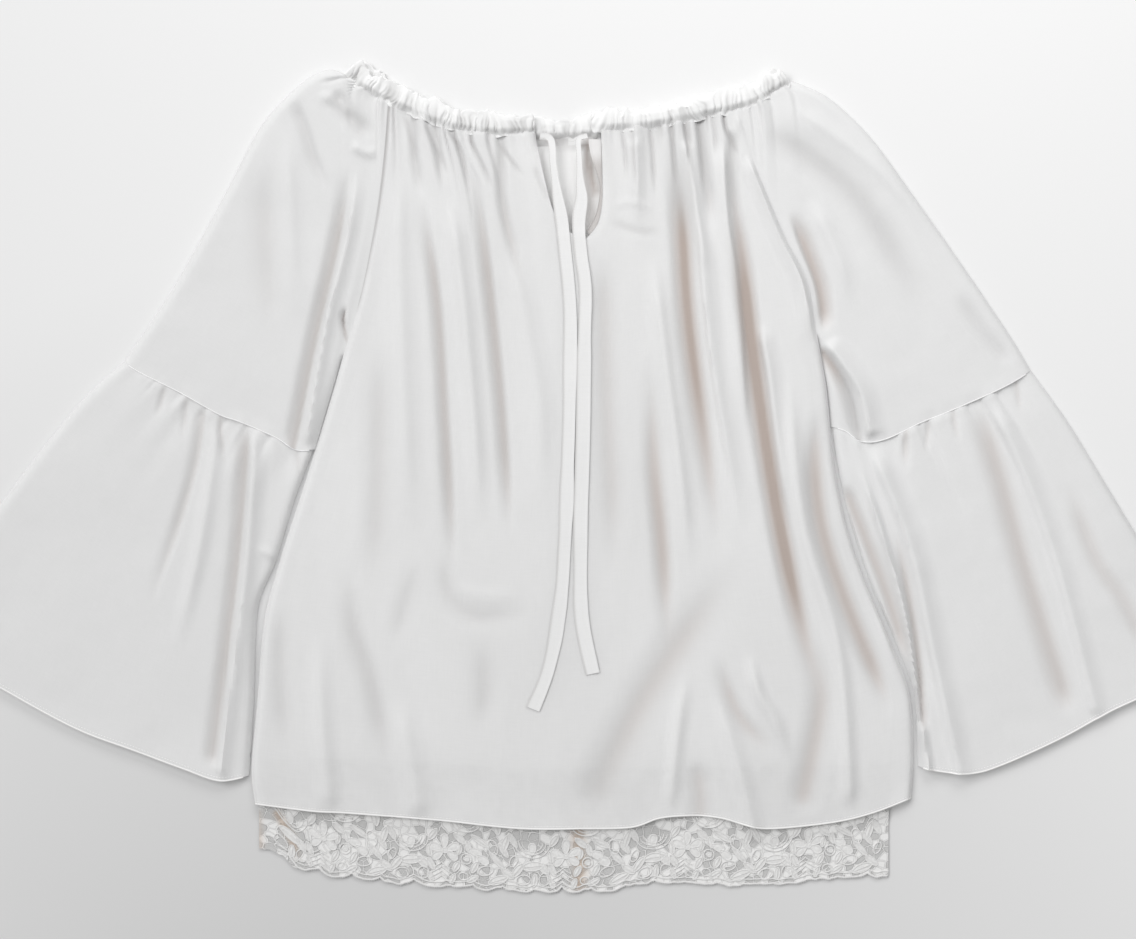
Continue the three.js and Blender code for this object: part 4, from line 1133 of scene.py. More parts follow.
@dataclass(frozen=True)
class Cloth:
    """A woven finish, which takes a painted shade where it is marked and loses some of its sheerness
    there.
    """

    name: str
    colour: Colour
    shade_colour: Colour = (0.5, 0.49, 0.485)
    warm: Colour = (0.53, 0.452, 0.41)
    alpha: float = 1.0
    roughness: float = 0.8
    sheen: float = 0.15
    threads: float = 2200.0
    slub: float = 0.05
    relief: float = 0.05

    def material(self) -> bpy.types.Material:
        """Makes the material.

        Returns:
            The material.
        """
        made, wiring = new_material(self.name)
        place = wiring.node("ShaderNodeUVMap").outputs[0]
        weave = wiring.node("ShaderNodeGroup", node_tree=weave_group())
        wiring.tree.links.new(place, weave.inputs["Vector"])
        weave.inputs["Threads"].default_value = self.threads
        weave.inputs["Slub"].default_value = self.slub
        # Painted shade: where the points are marked, the colour turns to the grey or warm shade colour
        # and the cloth grows less sheer, as the shadow in folds and troughs.
        painted_shade = wiring.mark("painted_shade")
        shade_colour = wiring.blend(wiring.mark("warmth"), self.shade_colour, self.warm)
        tinted = wiring.blend(painted_shade, self.colour, shade_colour)
        deep = 0.5 + 0.5 * self.alpha
        opacity = wiring.node("ShaderNodeMix", {0: painted_shade, 2: self.alpha, 3: deep}, data_type="FLOAT")
        wiring.surface(
            {
                "Base Color": wiring.blend(1.0, tinted, weave.outputs["Tone"], "MULTIPLY"),
                "Roughness": self.roughness,
                "Sheen Weight": self.sheen,
                "Specular IOR Level": 0.2,
                "Alpha": opacity.outputs[0],
                "Normal": wiring.bump(weave.outputs["Height"], 0.5, self.relief),
            }
        )
        return made


@dataclass(frozen=True)
class Net:
    """The ground of the lace: close work in uneven patches, with open net in the others, painted darker
    in the open net and beside the cords as painted shade.
    """

    name: str
    colour: Colour
    shade_colour: Colour = (0.6, 0.47, 0.37)
    cell: float = 1.15
    thread: float = 0.4
    patch: float = 7.0
    open_share: float = 0.5
    cord: float = 0.05
    groove: float = 0.12
    shade: float = 0.45

    def material(self) -> bpy.types.Material:
        """Makes the material.

        Returns:
            The material.
        """
        made, wiring = new_material(self.name)
        calc = wiring.calc
        place = wiring.node("ShaderNodeUVMap").outputs[0]
        net = wiring.node("ShaderNodeGroup", node_tree=net_group())
        wiring.tree.links.new(place, net.inputs["Vector"])
        net.inputs["Cell"].default_value = self.cell * MM
        net.inputs["Thread"].default_value = self.thread
        bent = wiring.noise(place, 90.0).outputs["Color"]
        nudge = wiring.node("ShaderNodeMapping", {0: bent, "Scale": (0.005, 0.005, 0)}).outputs[0]
        wavy = wiring.node("ShaderNodeVectorMath", {0: place, 1: nudge}, operation="ADD").outputs[0]
        scale = 1 / (self.patch * MM)
        rim = wiring.cells(wavy, scale, feature="DISTANCE_TO_EDGE").outputs["Distance"]
        kind = wiring.cells(wavy, scale).outputs["Color"]
        chance = wiring.node("ShaderNodeSeparateColor", {0: kind}).outputs[0]
        closed = calc("GREATER_THAN", chance, self.open_share)
        cord = calc("LESS_THAN", rim, self.cord)
        worked = calc("MAXIMUM", closed, cord)
        ribs = wiring.noise(place, 1100.0).outputs[0]
        # Painted shade: the bands beside the cords and the open cells are darkened, as the shade in
        # grooves and holes; the ribs add an uneven tone of the thread.
        beside = calc("MULTIPLY", calc("LESS_THAN", rim, self.groove), calc("SUBTRACT", 1.0, cord))
        open_cell_shade = calc("MULTIPLY", calc("SUBTRACT", 1.0, worked), 0.3)
        dark = calc("ADD", calc("MULTIPLY", beside, 0.4), open_cell_shade)
        dark = calc("ADD", dark, calc("MULTIPLY", ribs, 0.3))
        toned = wiring.blend(dark, self.colour, tuple(self.shade * c for c in self.colour))
        level = calc("ADD", calc("MULTIPLY", cord, 0.8), calc("MULTIPLY", ribs, 0.7))
        wiring.surface(
            {
                "Base Color": wiring.blend(wiring.mark("painted_shade"), toned, self.shade_colour),
                "Roughness": 0.85,
                "Specular IOR Level": 0.2,
                "Alpha": calc("MAXIMUM", worked, net.outputs["Mask"]),
                "Normal": wiring.bump(level, 0.7, 0.35),
            }
        )
        return made


@dataclass(frozen=True)
class Thread:
    """Twisted sewing thread or lace cord."""

    name: str
    colour: Colour
    roughness: float = 0.75
    strands: float = 900.0
    depth: float = 0.1

    def material(self) -> bpy.types.Material:
        """Makes the material.

        Returns:
            The material.
        """
        made, wiring = new_material(self.name)
        place = wiring.node("ShaderNodeTexCoord").outputs["Object"]
        fibres = wiring.noise(place, self.strands, 3.0).outputs[0]
        dark = tuple((1 - self.depth) * c for c in self.colour)
        wiring.surface(
            {
                "Base Color": wiring.blend(fibres, self.colour, dark),
                "Roughness": self.roughness,
                "Specular IOR Level": 0.25,
                "Normal": wiring.bump(fibres, 0.6, 0.15),
            }
        )
        return made


@dataclass
class Finishes:
    """Every material, made once."""

    chiffon: bpy.types.Material = field(init=False)
    under_chiffon: bpy.types.Material = field(init=False)
    lining: bpy.types.Material = field(init=False)
    net: bpy.types.Material = field(init=False)
    lace_work: bpy.types.Material = field(init=False)
    thread: bpy.types.Material = field(init=False)
    strip: bpy.types.Material = field(init=False)
    gathered: bpy.types.Material = field(init=False)

    def __post_init__(self) -> None:
        """Makes them."""
        white, lace = (0.953, 0.953, 0.953), (0.9, 0.896, 0.888)
        finishes = {
            "chiffon": Cloth("Sheer chiffon", white, alpha=0.6),
            "under_chiffon": Cloth("Chiffon laid double", white, alpha=0.95),
            "gathered": Cloth("Gathered chiffon", (0.88, 0.88, 0.878), (0.46, 0.455, 0.45), alpha=0.97),
            "strip": Cloth("Chiffon of the ties", (0.885, 0.884, 0.882), (0.5, 0.49, 0.48), alpha=0.9),
            "lining": Cloth("Lining", (0.945, 0.944, 0.94), roughness=0.7, threads=3000.0),
            "net": Net("Lace net", lace),
            "lace_work": Thread("Lace work", lace, strands=700.0, depth=0.3),
            "thread": Thread("Sewing thread", (0.95, 0.945, 0.935), strands=2500.0),
        }
        for name, finish in finishes.items():
            setattr(self, name, finish.material())


# The garment


@dataclass
class Body:
    """The front and the back of the outer cloth, with the front's hem."""

    finishes: Finishes
    columns: int = 122
    rows: int = 148
    back_columns: int = 30
    back_rows: int = 60
    row_power: float = 1.35
    slit_share: float = 0.25**1.35
    raglan_left: float = 0.35
    raglan_right: float = 0.33
    neck_height: float = 9.0
    body_height: float = 9.4
    hem_height: float = 7.4
    back_height: float = 0.9
    back_inset: float = 1.6
    seam_left: tuple[float, float] = (8.4, 5.6)
    seam_right: tuple[float, float] = (8.8, 6.8)
    groove_left: float = 5.0
    groove_right: float = 4.0
    fold_radius: float = 7.0
    middle_x: float = 7.0
    cut: tuple[float, float] = (280.0, BODY_LENGTH)
    front: Piece = field(init=False)

    def halves(self, inset: float = 0.0) -> dict[Side, Patch]:
        """The left and right halves of the front, which meet at the slit and below it.

        Args:
            inset: how far to draw the sides in, in millimetres.

        Returns:
            The patch of each side.
        """
        centre = Line(CENTRE_FRONT)
        left = [Line([(x + inset, y) for x, y in points]) for points in (RAGLAN_LEFT, SIDE_LEFT)]
        right = [Line([(x - inset, y) for x, y in points]) for points in (RAGLAN_RIGHT, SIDE_RIGHT)]
        return {
            Side.LEFT: Patch(
                Line(NECK_LEFT),
                Line(HEM_LEFT),
                JoinedLine(*left, self.raglan_left),
                JoinedLine(Line(SLIT_LEFT), centre, self.slit_share),
            ),
            Side.RIGHT: Patch(
                Line(NECK_RIGHT),
                Line(HEM_RIGHT),
                JoinedLine(Line(SLIT_RIGHT), centre, self.slit_share),
                JoinedLine(*right, self.raglan_right),
            ),
        }

    def raglan_share(self, side: Side) -> float:
        """The share of a side that its raglan seam takes."""
        return self.raglan_left if side is Side.LEFT else self.raglan_right

    def seam_height(self, v: Array, side: Side) -> Array:
        """The height at which the front and the sleeve meet, down the piece."""
        high, low = self.seam_left if side is Side.LEFT else self.seam_right
        return mix(high, low, smooth(v / self.raglan_share(side)))

    def near_side(self, v: Array, from_side: Array, inside: Array, side: Side) -> Array:
        """Brings the front's height down to its seams, and rounds its folded lower edge.

        Args:
            v: shares down.
            from_side: the distance from the side, in millimetres.
            inside: the height away from it.
            side: which side it is.

        Returns:
            Heights in millimetres.
        """
        groove = self.groove_left if side is Side.LEFT else self.groove_right
        sewn = mix(self.seam_height(v, side), inside, smooth(from_side / groove))
        folded = mix(LAYER + 1.0, inside, rounded(from_side / self.fold_radius))
        return mix(sewn, folded, smooth((v - self.raglan_share(side)) / 0.05))

    def front_heights(self, x: Array, y: Array, v: Array) -> Array:
        """The height of the front's upper skin away from its sides.

        Args:
            x: places across.
            y: places up.
            v: shares down.

        Returns:
            Heights in millimetres.
        """
        rest = mix(self.neck_height, self.body_height, smooth(v * 12))
        rest = rest + (self.hem_height - self.body_height) * smooth((v - 0.88) / 0.12)
        folds = fold_heights(FRONT_TROUGHS + FRONT_RIDGES, x, y) * FOLD_RELIEF
        folds += fold_heights(FRONT_CREASES, x, y)
        folds += neck_gathers(*neck_lines(x, y))
        folds += 0.5 * swell(x, y * 0.35, 30, 21) + 0.2 * swell(x, y * 0.5, 12, 22)
        folds += 0.6 * ripple(x, 38, 23) * smooth((v - 0.8) / 0.2)
        return soft_floor(rest + folds, FRONT_LOWEST)

    def front_place(self, side: Side, patch: Patch, u: Array, v: Array) -> Array:
        """Places one half of the front by its shares.

        Args:
            side: which half it is.
            patch: its outline.
            u: shares across.
            v: shares down.

        Returns:
            The points in millimetres, as rows of x, y, z.
        """
        v = v**self.row_power
        spots = patch.at(u, v)
        outer = np.full_like(u, 0.0 if side is Side.LEFT else 1.0)
        from_side = np.linalg.norm(spots - patch.at(outer, v), axis=-1)
        x, y = spots.T
        heights = self.near_side(v, from_side, self.front_heights(x, y, v), side)
        under = np.exp(-v * BODY_LENGTH / 3)
        return np.column_stack([x, y + UNDER_CASING * under, heights - 0.8 * under])

    def front_shade(self, x: Array, y: Array, _z: Array) -> tuple[Array, Array]:
        """The painted shade of the front's troughs, creases and gather valleys, warmer on the right and
        lower down, over a faint broad painted shade.

        Args:
            x: places across, in millimetres.
            y: places up.
            _z: heights, which don't count here.

        Returns:
            The strength of the painted shade and its warmth, from 0 to 1.
        """
        lines = 0.8 * trough_shade(FRONT_CREASES, x, y, 4.5) - 0.45 * gather_valleys(*neck_lines(x, y))
        wide = trough_shade(FRONT_TROUGHS, x, y, 7.2)
        marks = wide + np.minimum(lines, 0.8) * (1 - wide)
        # A faint broad uneven painted shade over the whole front.
        broad = 0.045 + 0.055 * swell(x, y * 0.35, 60, 24)
        lower = 0.1 + 0.4 * smooth((y + 110) / 60)
        warmth = mix(lower, 1.0, smooth((x - 20) / 50)) * smooth(wide * 2.5)
        return marks + broad * (1 - marks), warmth * smooth((250 - y) / 60)

    def build_front(self) -> None:
        """Makes the front in two halves, joined below the slit."""
        halves = []
        for side, patch in self.halves().items():
            place = partial(self.front_place, side, patch)
            halves.append(grid_piece(side.value, self.columns, self.rows, place, self.cut))
        self.front = join(halves, "front_cloth")
        finish_cloth(self.front, self.front_shade)
        dress(self.front, self.finishes.chiffon, node="front_panel")

    def back_place(self, side: Side, patch: Patch, u: Array, v: Array) -> Array:
        """Places one half of the back, which has no slit, by its shares.

        Args:
            side: which half it is.
            patch: its outline.
            u: shares across.
            v: shares down.

        Returns:
            The points in millimetres, as rows of x, y, z.
        """
        x, y = patch.at(u, v).T
        closing = smooth(u) if side is Side.LEFT else smooth(1 - u)
        moved = (self.middle_x - self.slit_x(side, y)) * closing * (y > SLIT_END)
        return np.column_stack([x + moved, y, np.full_like(x, self.back_height)])

    def build_back(self) -> None:
        """Makes the back, which lies flat on the table."""
        halves = []
        for side, patch in self.halves(self.back_inset).items():
            place = partial(self.back_place, side, patch)
            halves.append(grid_piece(side.value, self.back_columns, self.back_rows, place, self.cut))
        piece = join(halves, "back_cloth", 0.5)
        finish_cloth(piece, slit_shade)
        dress(piece, self.finishes.under_chiffon, node="back_panel")

    def slit_x(self, side: Side, y: Array) -> Array:
        """The x of the slit's edge at a height."""
        spots = Line(SLIT_LEFT if side is Side.LEFT else SLIT_RIGHT).at(np.linspace(0, 1, 60))
        order = np.argsort(spots[:, 1])
        return np.interp(y, spots[order, 1], spots[order, 0])

    def build_hem(self) -> None:
        ground, thread = ground_of(self.front), self.finishes.thread
        share = np.linspace(0, 1, 160)
        bottom = np.vstack([Line(HEM_LEFT).at(share), Line(HEM_RIGHT).at(share)[1:]])
        heights = filled(ground(bottom + (0, 1.2)))
        hem = roll_piece("front_hem", bottom + (0, 0.5), heights - 0.35, (0.85, 0.55), thread)
        stitches = hem_stitches("front_hem_stitches", bottom + (0, 2.6), ground, thread)

    def build(self) -> None:
        """Makes every piece of the body."""
        self.build_front()
        self.build_back()
        self.build_hem()


@dataclass
class Lining:
    """The lining's front and back, which show at the neck and through the sheer front."""

    finishes: Finishes
    inset: float = 14.0
    neck_drop: float = 6.0
    neck_end: float = 300.0
    back_height: float = 2.1
    front_height: float = 3.4

    def side(self, points: Points, sign: int, start: Array | tuple, end: Array) -> Line:
        """One side of the lining, drawn in from the body's, between its two ends.

        Args:
            points: the body's side.
            sign: 1 on the left and -1 on the right.
            start: its upper end.
            end: its lower end.

        Returns:
            The line.
        """
        drawn = []
        for x, y in points:
            drop = self.neck_drop if y > self.neck_end else 0.0
            drawn.append((x + sign * self.inset, y - drop))
        return Line([tuple(start), *drawn, tuple(end)])

    def patches(self, slit: bool) -> list[Patch]:
        """The halves of one layer, from the neck down to the lace.

        Args:
            slit: True if it is open at the centre front.

        Returns:
            The left and the right half.
        """
        hem = Line(LACE_TOP)
        hems = [Line(hem.at(np.linspace(*ends, 6))) for ends in ((0, 0.5), (0.5, 1))]
        necks = [[(x, y - self.neck_drop) for x, y in points] for points in (NECK_LEFT, NECK_RIGHT)]
        inner = [SLIT_LEFT, SLIT_RIGHT]
        if not slit:
            closed = [(8, SLIT_TOP), (10, 250), (14, 220), (22, SLIT_END)]
            inner = [closed, closed]
            necks = [[*necks[0][:-1], closed[0]], [closed[0], *necks[1][1:]]]
        low = tuple(hem.at(0.5))
        middles = [Line([(points[0][0], SLIT_TOP), *points[1:], (21, 60), low]) for points in inner]
        left = self.side((RAGLAN_LEFT + SIDE_LEFT[1:-2])[1:], 1, necks[0][0], hem.at(0.0))
        right = self.side((RAGLAN_RIGHT + SIDE_RIGHT[1:-2])[1:], -1, necks[1][-1], hem.at(1.0))
        return [
            Patch(Line(necks[0]), hems[0], left, middles[0]),
            Patch(Line(necks[1]), hems[1], middles[1], right),
        ]

    def place(self, patch: Patch, level: float, u: Array, v: Array) -> Array:
        """Places one half of a layer by its shares."""
        x, y = patch.at(u, v).T
        return np.column_stack([x, y, level + 0.2 * swell(x, y, 40, 31)])

    def layer(self, name: str, node: str, level: float, slit: bool) -> None:
        """Makes one layer.

        Args:
            name: the piece's name.
            node: the CAD node that it stands for.
            level: the height of its upper skin.
            slit: True if it is open at the centre front.
        """
        halves = [
            grid_piece(f"{name}_{k}", 40, 80, partial(self.place, patch, level), (260.0, 530.0))
            for k, patch in enumerate(self.patches(slit))
        ]
        piece = join(halves, name, 0.3)
        finish_cloth(piece, slit_shade)
        dress(piece, self.finishes.lining, node)

    def build(self) -> None:
        """Makes both layers."""
        self.layer("lining_back_cloth", "lining_back", self.back_height, slit=False)
        self.layer("lining_front_cloth", "lining_front", self.front_height, slit=True)


@dataclass
class FlatTube:
    """A sleeve or flounce lying flat, with its cloth round a thin hollow."""

    finishes: Finishes
    name: str
    node: str
    outline: dict[str, Points]
    folds: list[Fold]
    free: Callable[[Array], Array]
    columns: int = 76
    back_columns: int = 34
    rows: int = 104
    seam_height: Callable[[Array], Array] | None = None
    open_share: float = 0.0
    back_drop: float = 0.0
    at_neck: bool = False
    seam_at: float = 0.0
    low: float = 0.55
    outer_radius: float = 9.0
    inner_radius: float = 8.0
    warmth: float = 0.3
    tucked: float = 1.4
    warm_to: tuple[float, float] = (600.0, 600.0)
    cut: tuple[float, float] = (500.0, 330.0)
    area: float = 0.15
    seed: int = 41
    piece: Piece = field(init=False)

    def patch(self) -> Patch:
        """The outline as a patch, with u from the inner edge to the outer fold."""
        return Patch(*(Line(self.outline[edge]) for edge in ("top", "bottom", "inner", "outer")))

    def top_heights(self, x: Array, y: Array, u: Array, v: Array) -> Array:
        """The height of the upper skin.

        Args:
            x: places across.
            y: places up.
            u: shares from the inner edge to the outer.
            v: shares down.

        Returns:
            Heights in millimetres.
        """
        height = self.free(v) + fold_heights(self.folds, x, y) * FOLD_RELIEF
        height += 0.9 * swell(x, y, 52, self.seed + 4) + 0.25 * swell(x, y, 16, self.seed + 5)
        if self.at_neck:
            height += neck_gathers(*neck_lines(x, y))
        near_seam = smooth(1 - np.abs(v - self.seam_at) * SLEEVE_LENGTH / 9)
        height = mix(height, 6.7 + 0.4 * ripple(x, 8, 5), near_seam)
        if not self.at_neck:
            height += self.cuff_heights(u * self.patch().top.length, v * SLEEVE_LENGTH)
        return soft_floor(height, SLEEVE_LOWEST)

    def cuff_heights(self, along: Array, down: Array) -> Array:
        """The gathers below the seam of the flounce.

        Args:
            along: the place along the seam.
            down: the distance below it.

        Returns:
            What they add to the height.
        """
        reach = 12 + 45 * smooth(0.3 + ripple(along, 30, self.seed + 6))
        sharp = creases(along, 15, self.seed + 7, 0.28) * np.exp(-((down / reach) ** 1.5))
        height = gathers(CUFF_WAVES, along, down, self.seed) + CUFF_VALLEY * sharp
        return height * smooth((down + 2) / 6)

    def place(self, share: Array, v: Array) -> Array:
        """Places the cloth: over the top from the inner edge, and back underneath.

        Args:
            share: shares round the cloth.
            v: shares down.

        Returns:
            The points in millimetres, as rows of x, y, z.
        """
        patch = self.patch()
        top_share = self.columns / (self.columns + self.back_columns)
        on_top = share <= top_share + 1e-6
        u = np.where(on_top, share / top_share, 1 - (share - top_share) / (1 - top_share))
        v_back = v + self.back_drop / SLEEVE_LENGTH * smooth(v * 4 - 3)
        spots = patch.at(u, np.where(on_top, v, v_back))
        width = np.linalg.norm(patch.at(np.ones_like(v), v) - patch.at(np.zeros_like(v), v), axis=-1)
        rounding = rounded((1 - u) * width / self.outer_radius)
        free = mix(self.low, self.top_heights(*spots.T, u, v), rounding)
        from_inner = u * width
        height = mix(self.low, free, rounded(from_inner / self.inner_radius))
        if self.seam_height is not None:
            sewn = mix(self.seam_height(v), free, smooth(from_inner / 9))
            height = mix(sewn, height, smooth((v - self.open_share) / 0.04))
        outward = patch.top.at(u) - patch.at(u, np.full_like(u, 0.04))
        outward /= np.linalg.norm(outward, axis=-1, keepdims=True)
        under = np.exp(-v * SLEEVE_LENGTH / 3) * on_top
        spots = spots + outward * (self.tucked * under)[:, None]
        return np.column_stack([spots, np.where(on_top, height - 0.8 * under, self.low)])

    def shade(self, x: Array, y: Array, z: Array) -> tuple[Array, Array]:
        """The painted shade in the upper skin's troughs, and how warm it is."""
        warmth = self.warmth * smooth((self.warm_to[0] - x) / 15) * smooth((self.warm_to[1] - y) / 20)
        return trough_shade(self.folds, x, y) * (z > 1.5), warmth

    def build(self) -> None:
        """Makes the cloth."""
        columns = self.columns + self.back_columns
        self.piece = grid_piece(self.name, columns, self.rows, self.place, self.cut)
        merge_doubles(self.piece, 0.05)
        face_up(self.piece, above=3.0)
        finish_cloth(self.piece, self.shade)
        dress(self.piece, self.finishes.chiffon, node=self.node)

    def declare(self, extra: list[Piece]) -> None:
        """Works out the width and length of the cloth's cut, in metres."""
        width, length = (size * MM for size in self.cut)


@dataclass
class Arm:
    """One sleeve with its flounce, the seam between them and the flounce's hems."""

    finishes: Finishes
    side: Side
    body: Body
    open_share: float = 0.71

    def seam_height(self, v: Array) -> Array:
        """The height at which the sleeve meets the front, down the sleeve."""
        share = self.body.raglan_share(self.side)
        return self.body.seam_height(v / self.open_share * share, self.side) - 0.3

    def build(self) -> None:
        """Makes the sleeve, the flounce and their sewing."""
        left = self.side is Side.LEFT
        name = self.side.value
        sleeve = FlatTube(
            self.finishes,
            f"sleeve_{name}_cloth",
            f"sleeve_{name}",
            SLEEVE_LEFT if left else SLEEVE_RIGHT,
            SLEEVE_LEFT_FOLDS if left else SLEEVE_RIGHT_FOLDS,
            lambda v: mix(mix(8.8, 7.6, smooth(v * 2.5)), 6.4, smooth((v - 0.85) * 6.6)),
            seam_height=self.seam_height,
            open_share=self.open_share,
            at_neck=True,
            tucked=UNDER_CASING,
            seam_at=1.0,
            cut=(430.0, 340.0),
            area=0.1,
            warmth=0.4 if left else 1.0,
            warm_to=(245.0, 238.0),
            seed=41 if left else 51,
        )
        sleeve.build()
        flounce = FlatTube(
            self.finishes,
            f"flounce_{name}_cloth",
            f"flounce_{name}",
            FLOUNCE_LEFT if left else FLOUNCE_RIGHT,
            FLOUNCE_LEFT_FOLDS if left else FLOUNCE_RIGHT_FOLDS,
            lambda v: mix(6.4, 7.0, smooth(v * 8)),
            columns=96,
            back_columns=36,
            rows=96,
            back_drop=4.0,
            cut=(640.0, 320.0),
            area=0.185,
            warmth=0.5 if left else 0.9,
            seed=61 if left else 71,
        )
        flounce.build()
        sleeve.declare([self.seam_welt(sleeve)])
        flounce.declare(self.hems(flounce))

    def seam_welt(self, sleeve: FlatTube) -> Piece:
        """The narrow ridge where the flounce is sewn to the sleeve.

        Args:
            sleeve: the sleeve.

        Returns:
            The new object.
        """
        spots = Line(sleeve.outline["bottom"]).at(np.linspace(0.03, 0.97, 90))
        heights = filled(ground_of(sleeve.piece)(spots + (0, 0.8))) - 0.45
        name, size = f"seam_{self.side.value}_welt", (0.7, 0.5)
        return roll_piece(name, spots - (0, 0.4), heights, size, self.finishes.under_chiffon)

    def hems(self, flounce: FlatTube) -> list[Piece]:
        """The rolled hems of the flounce's front and back, and the front's stitches.

        Args:
            flounce: the flounce.

        Returns:
            The pieces.
        """
        share = np.linspace(0.015, 0.985, 150)
        ground, thread, size = ground_of(flounce.piece), self.finishes.thread, (0.8, 0.55)
        name = f"flounce_{self.side.value}"
        v_back = 1 + flounce.back_drop / SLEEVE_LENGTH
        front, inside, stitched, back = (
            flounce.patch().at(share, np.full_like(share, v)) for v in (1.0, 0.996, 0.99, v_back)
        )
        return [
            roll_piece(f"{name}_front_hem", front, filled(ground(inside)) - 0.3, size, thread),
            roll_piece(f"{name}_back_hem", back, np.full_like(share, 0.75), size, thread),
            hem_stitches(f"{name}_stitches", stitched, ground, thread),
        ]


@dataclass
class Casing:
    """One stretch of the gathered tunnel round the neck."""

    finishes: Finishes
    name: str
    node: str
    points: Points
    level: float
    seed: int
    half_width: float = 10.0
    thickness: float = 5.2
    step: float = 0.6
    around: int = 56
    sewn: float = 1.0
    rise: float = 0.2
    squareness: float = 0.85
    fullness: float = 1.3
    cloth_width: float = 46.0

    def wrinkles(self, u: Array, outward: Array) -> tuple[Array, Array, Array]:
        """The wrinkles of the gathered cloth.

        Args:
            u: shares along the line.
            outward: the place across it, from -1 at the seam to 1 at the upper edge.

        Returns:
            The place along the neck's seam, the deep fine wrinkles and the soft puffs.
        """
        line = Line(self.points)
        seam = line.at(u) - line.across(u) * self.half_width
        along, _ = neck_lines(seam[:, 0], seam[:, 1] + 50)
        along = along + 4.0 * (outward + 1) * ripple(u * line.length, 26, self.seed)
        tight = smooth((1.05 - outward) / 1.5)
        some = smooth(0.6 + ripple(along + 5 * outward, 14, self.seed + 9))
        fine = 0.45 * ripple(along, 4.5, 11) + 0.8 * ripple(along, 10, 12)
        fine += 1.3 * creases(along, 14, 15, 0.2)
        slant = along + 1.5 * ripple(outward * 10 + along * 0.3, 9, self.seed + 11)
        fine += (1.2 + 0.7 * some) * creases(slant, 5.4, self.seed + 5, 0.3)
        fine += 0.5 * ripple(slant, 3.2, self.seed + 12)
        puffs = 1.1 * ripple(along, 17, self.seed + 2) + 0.8 * ripple(along, 8, self.seed + 6)
        return along, 0.85 * fine * tight, puffs * (1 - 0.5 * tight)

    def place(self, u: Array, v: Array) -> Array:
        """Places the cloth round the elastic: sewn down at the seam, puffed at the upper edge.

        Args:
            u: shares along.
            v: shares round, from the upper edge.

        Returns:
            The points in millimetres, as rows of x, y, z.
        """
        line = Line(self.points)
        run = u * line.length
        turn = 2 * math.pi * v
        outward, on_top = np.cos(turn), smooth((np.sin(turn) + 0.2) / 0.4)
        along, fine, puffs = self.wrinkles(u, outward)
        reach = np.sign(outward) * np.abs(outward) ** self.squareness * self.half_width
        bulge = 1.9 * ripple(along, 23, self.seed + 3) + 1.3 * ripple(along, 10, self.seed + 7)
        frill = 1.5 * creases(along, 13, self.seed + 10, 0.3) + 1.0 * ripple(along, 5, self.seed + 13)
        reach += (bulge + frill) * smooth(outward * 1.4)
        reach += 0.8 * ripple(along, 6, self.seed + 8) * smooth(-outward)
        base = self.level + 0.2 + self.rise * smooth((-outward - 0.3) / 0.7)
        base = base + 0.8 * smooth((outward - 0.6) / 0.4)
        shared = self.sewn * neck_gathers(along, np.zeros_like(along))
        base = base + shared * smooth((-outward - 0.2) / 0.8)
        inward = np.maximum(1 - outward**2, 0)
        thick = mix(0.7, self.thickness, smooth((outward + 1) / 0.8)) * inward**0.35
        rim = inward**0.4
        height = base + on_top * np.maximum(thick + (fine + puffs) * rim, 0.2 * rim)
        closing = rounded(np.minimum(run, line.length - run) / 2.5)
        middle = self.level + 2.0
        flat = line.at(u) + line.across(u) * (reach * closing)[:, None]
        return np.column_stack([flat, middle + (height - middle) * closing])

    def shade(self, x: Array, y: Array, z: Array) -> tuple[Array, Array]:
        """The painted shade in the wrinkles near the seam, and in what lies in the slit's shadow.

        Args:
            x: places across, in millimetres.
            y: places up.
            z: heights.

        Returns:
            The strength of the painted shade and its warmth, from 0 to 1.
        """
        line = Line(self.points)
        share = np.linspace(0, 1, 800)
        spots, across = line.at(share), line.across(share)
        flat = np.column_stack([x, y])
        gaps = flat[:, None] - spots[None]
        nearest = np.hypot(gaps[..., 0], gaps[..., 1]).argmin(axis=1)
        away = ((flat - spots[nearest]) * across[nearest]).sum(axis=1)
        outward = np.clip(away / self.half_width, -1, 1)
        outward = np.sign(outward) * np.abs(outward) ** (1 / self.squareness)
        _, fine, puffs = self.wrinkles(share[nearest], outward)
        marks = 0.75 * smooth(0.05 - (fine + 0.5 * puffs) / 3.4) * (z > self.level + 1.2)
        in_slit = trough_shade(SLIT_SHADOWS[:1], x, y) * (self.sewn == 0)
        return np.maximum(marks, in_slit), np.zeros_like(x)

    def build(self) -> None:
        """Makes the roll."""
        length = Line(self.points).length
        cut = (length * self.fullness, self.cloth_width)
        piece = grid_piece(self.name, round(length / self.step), self.around, self.place, cut)
        merge_doubles(piece, 0.01)
        with editing(piece):
            bpy.ops.mesh.normals_make_consistent(inside=False)
        finish_cloth(piece, self.shade, 0.3)
        dress(piece, self.finishes.gathered, node=self.node)


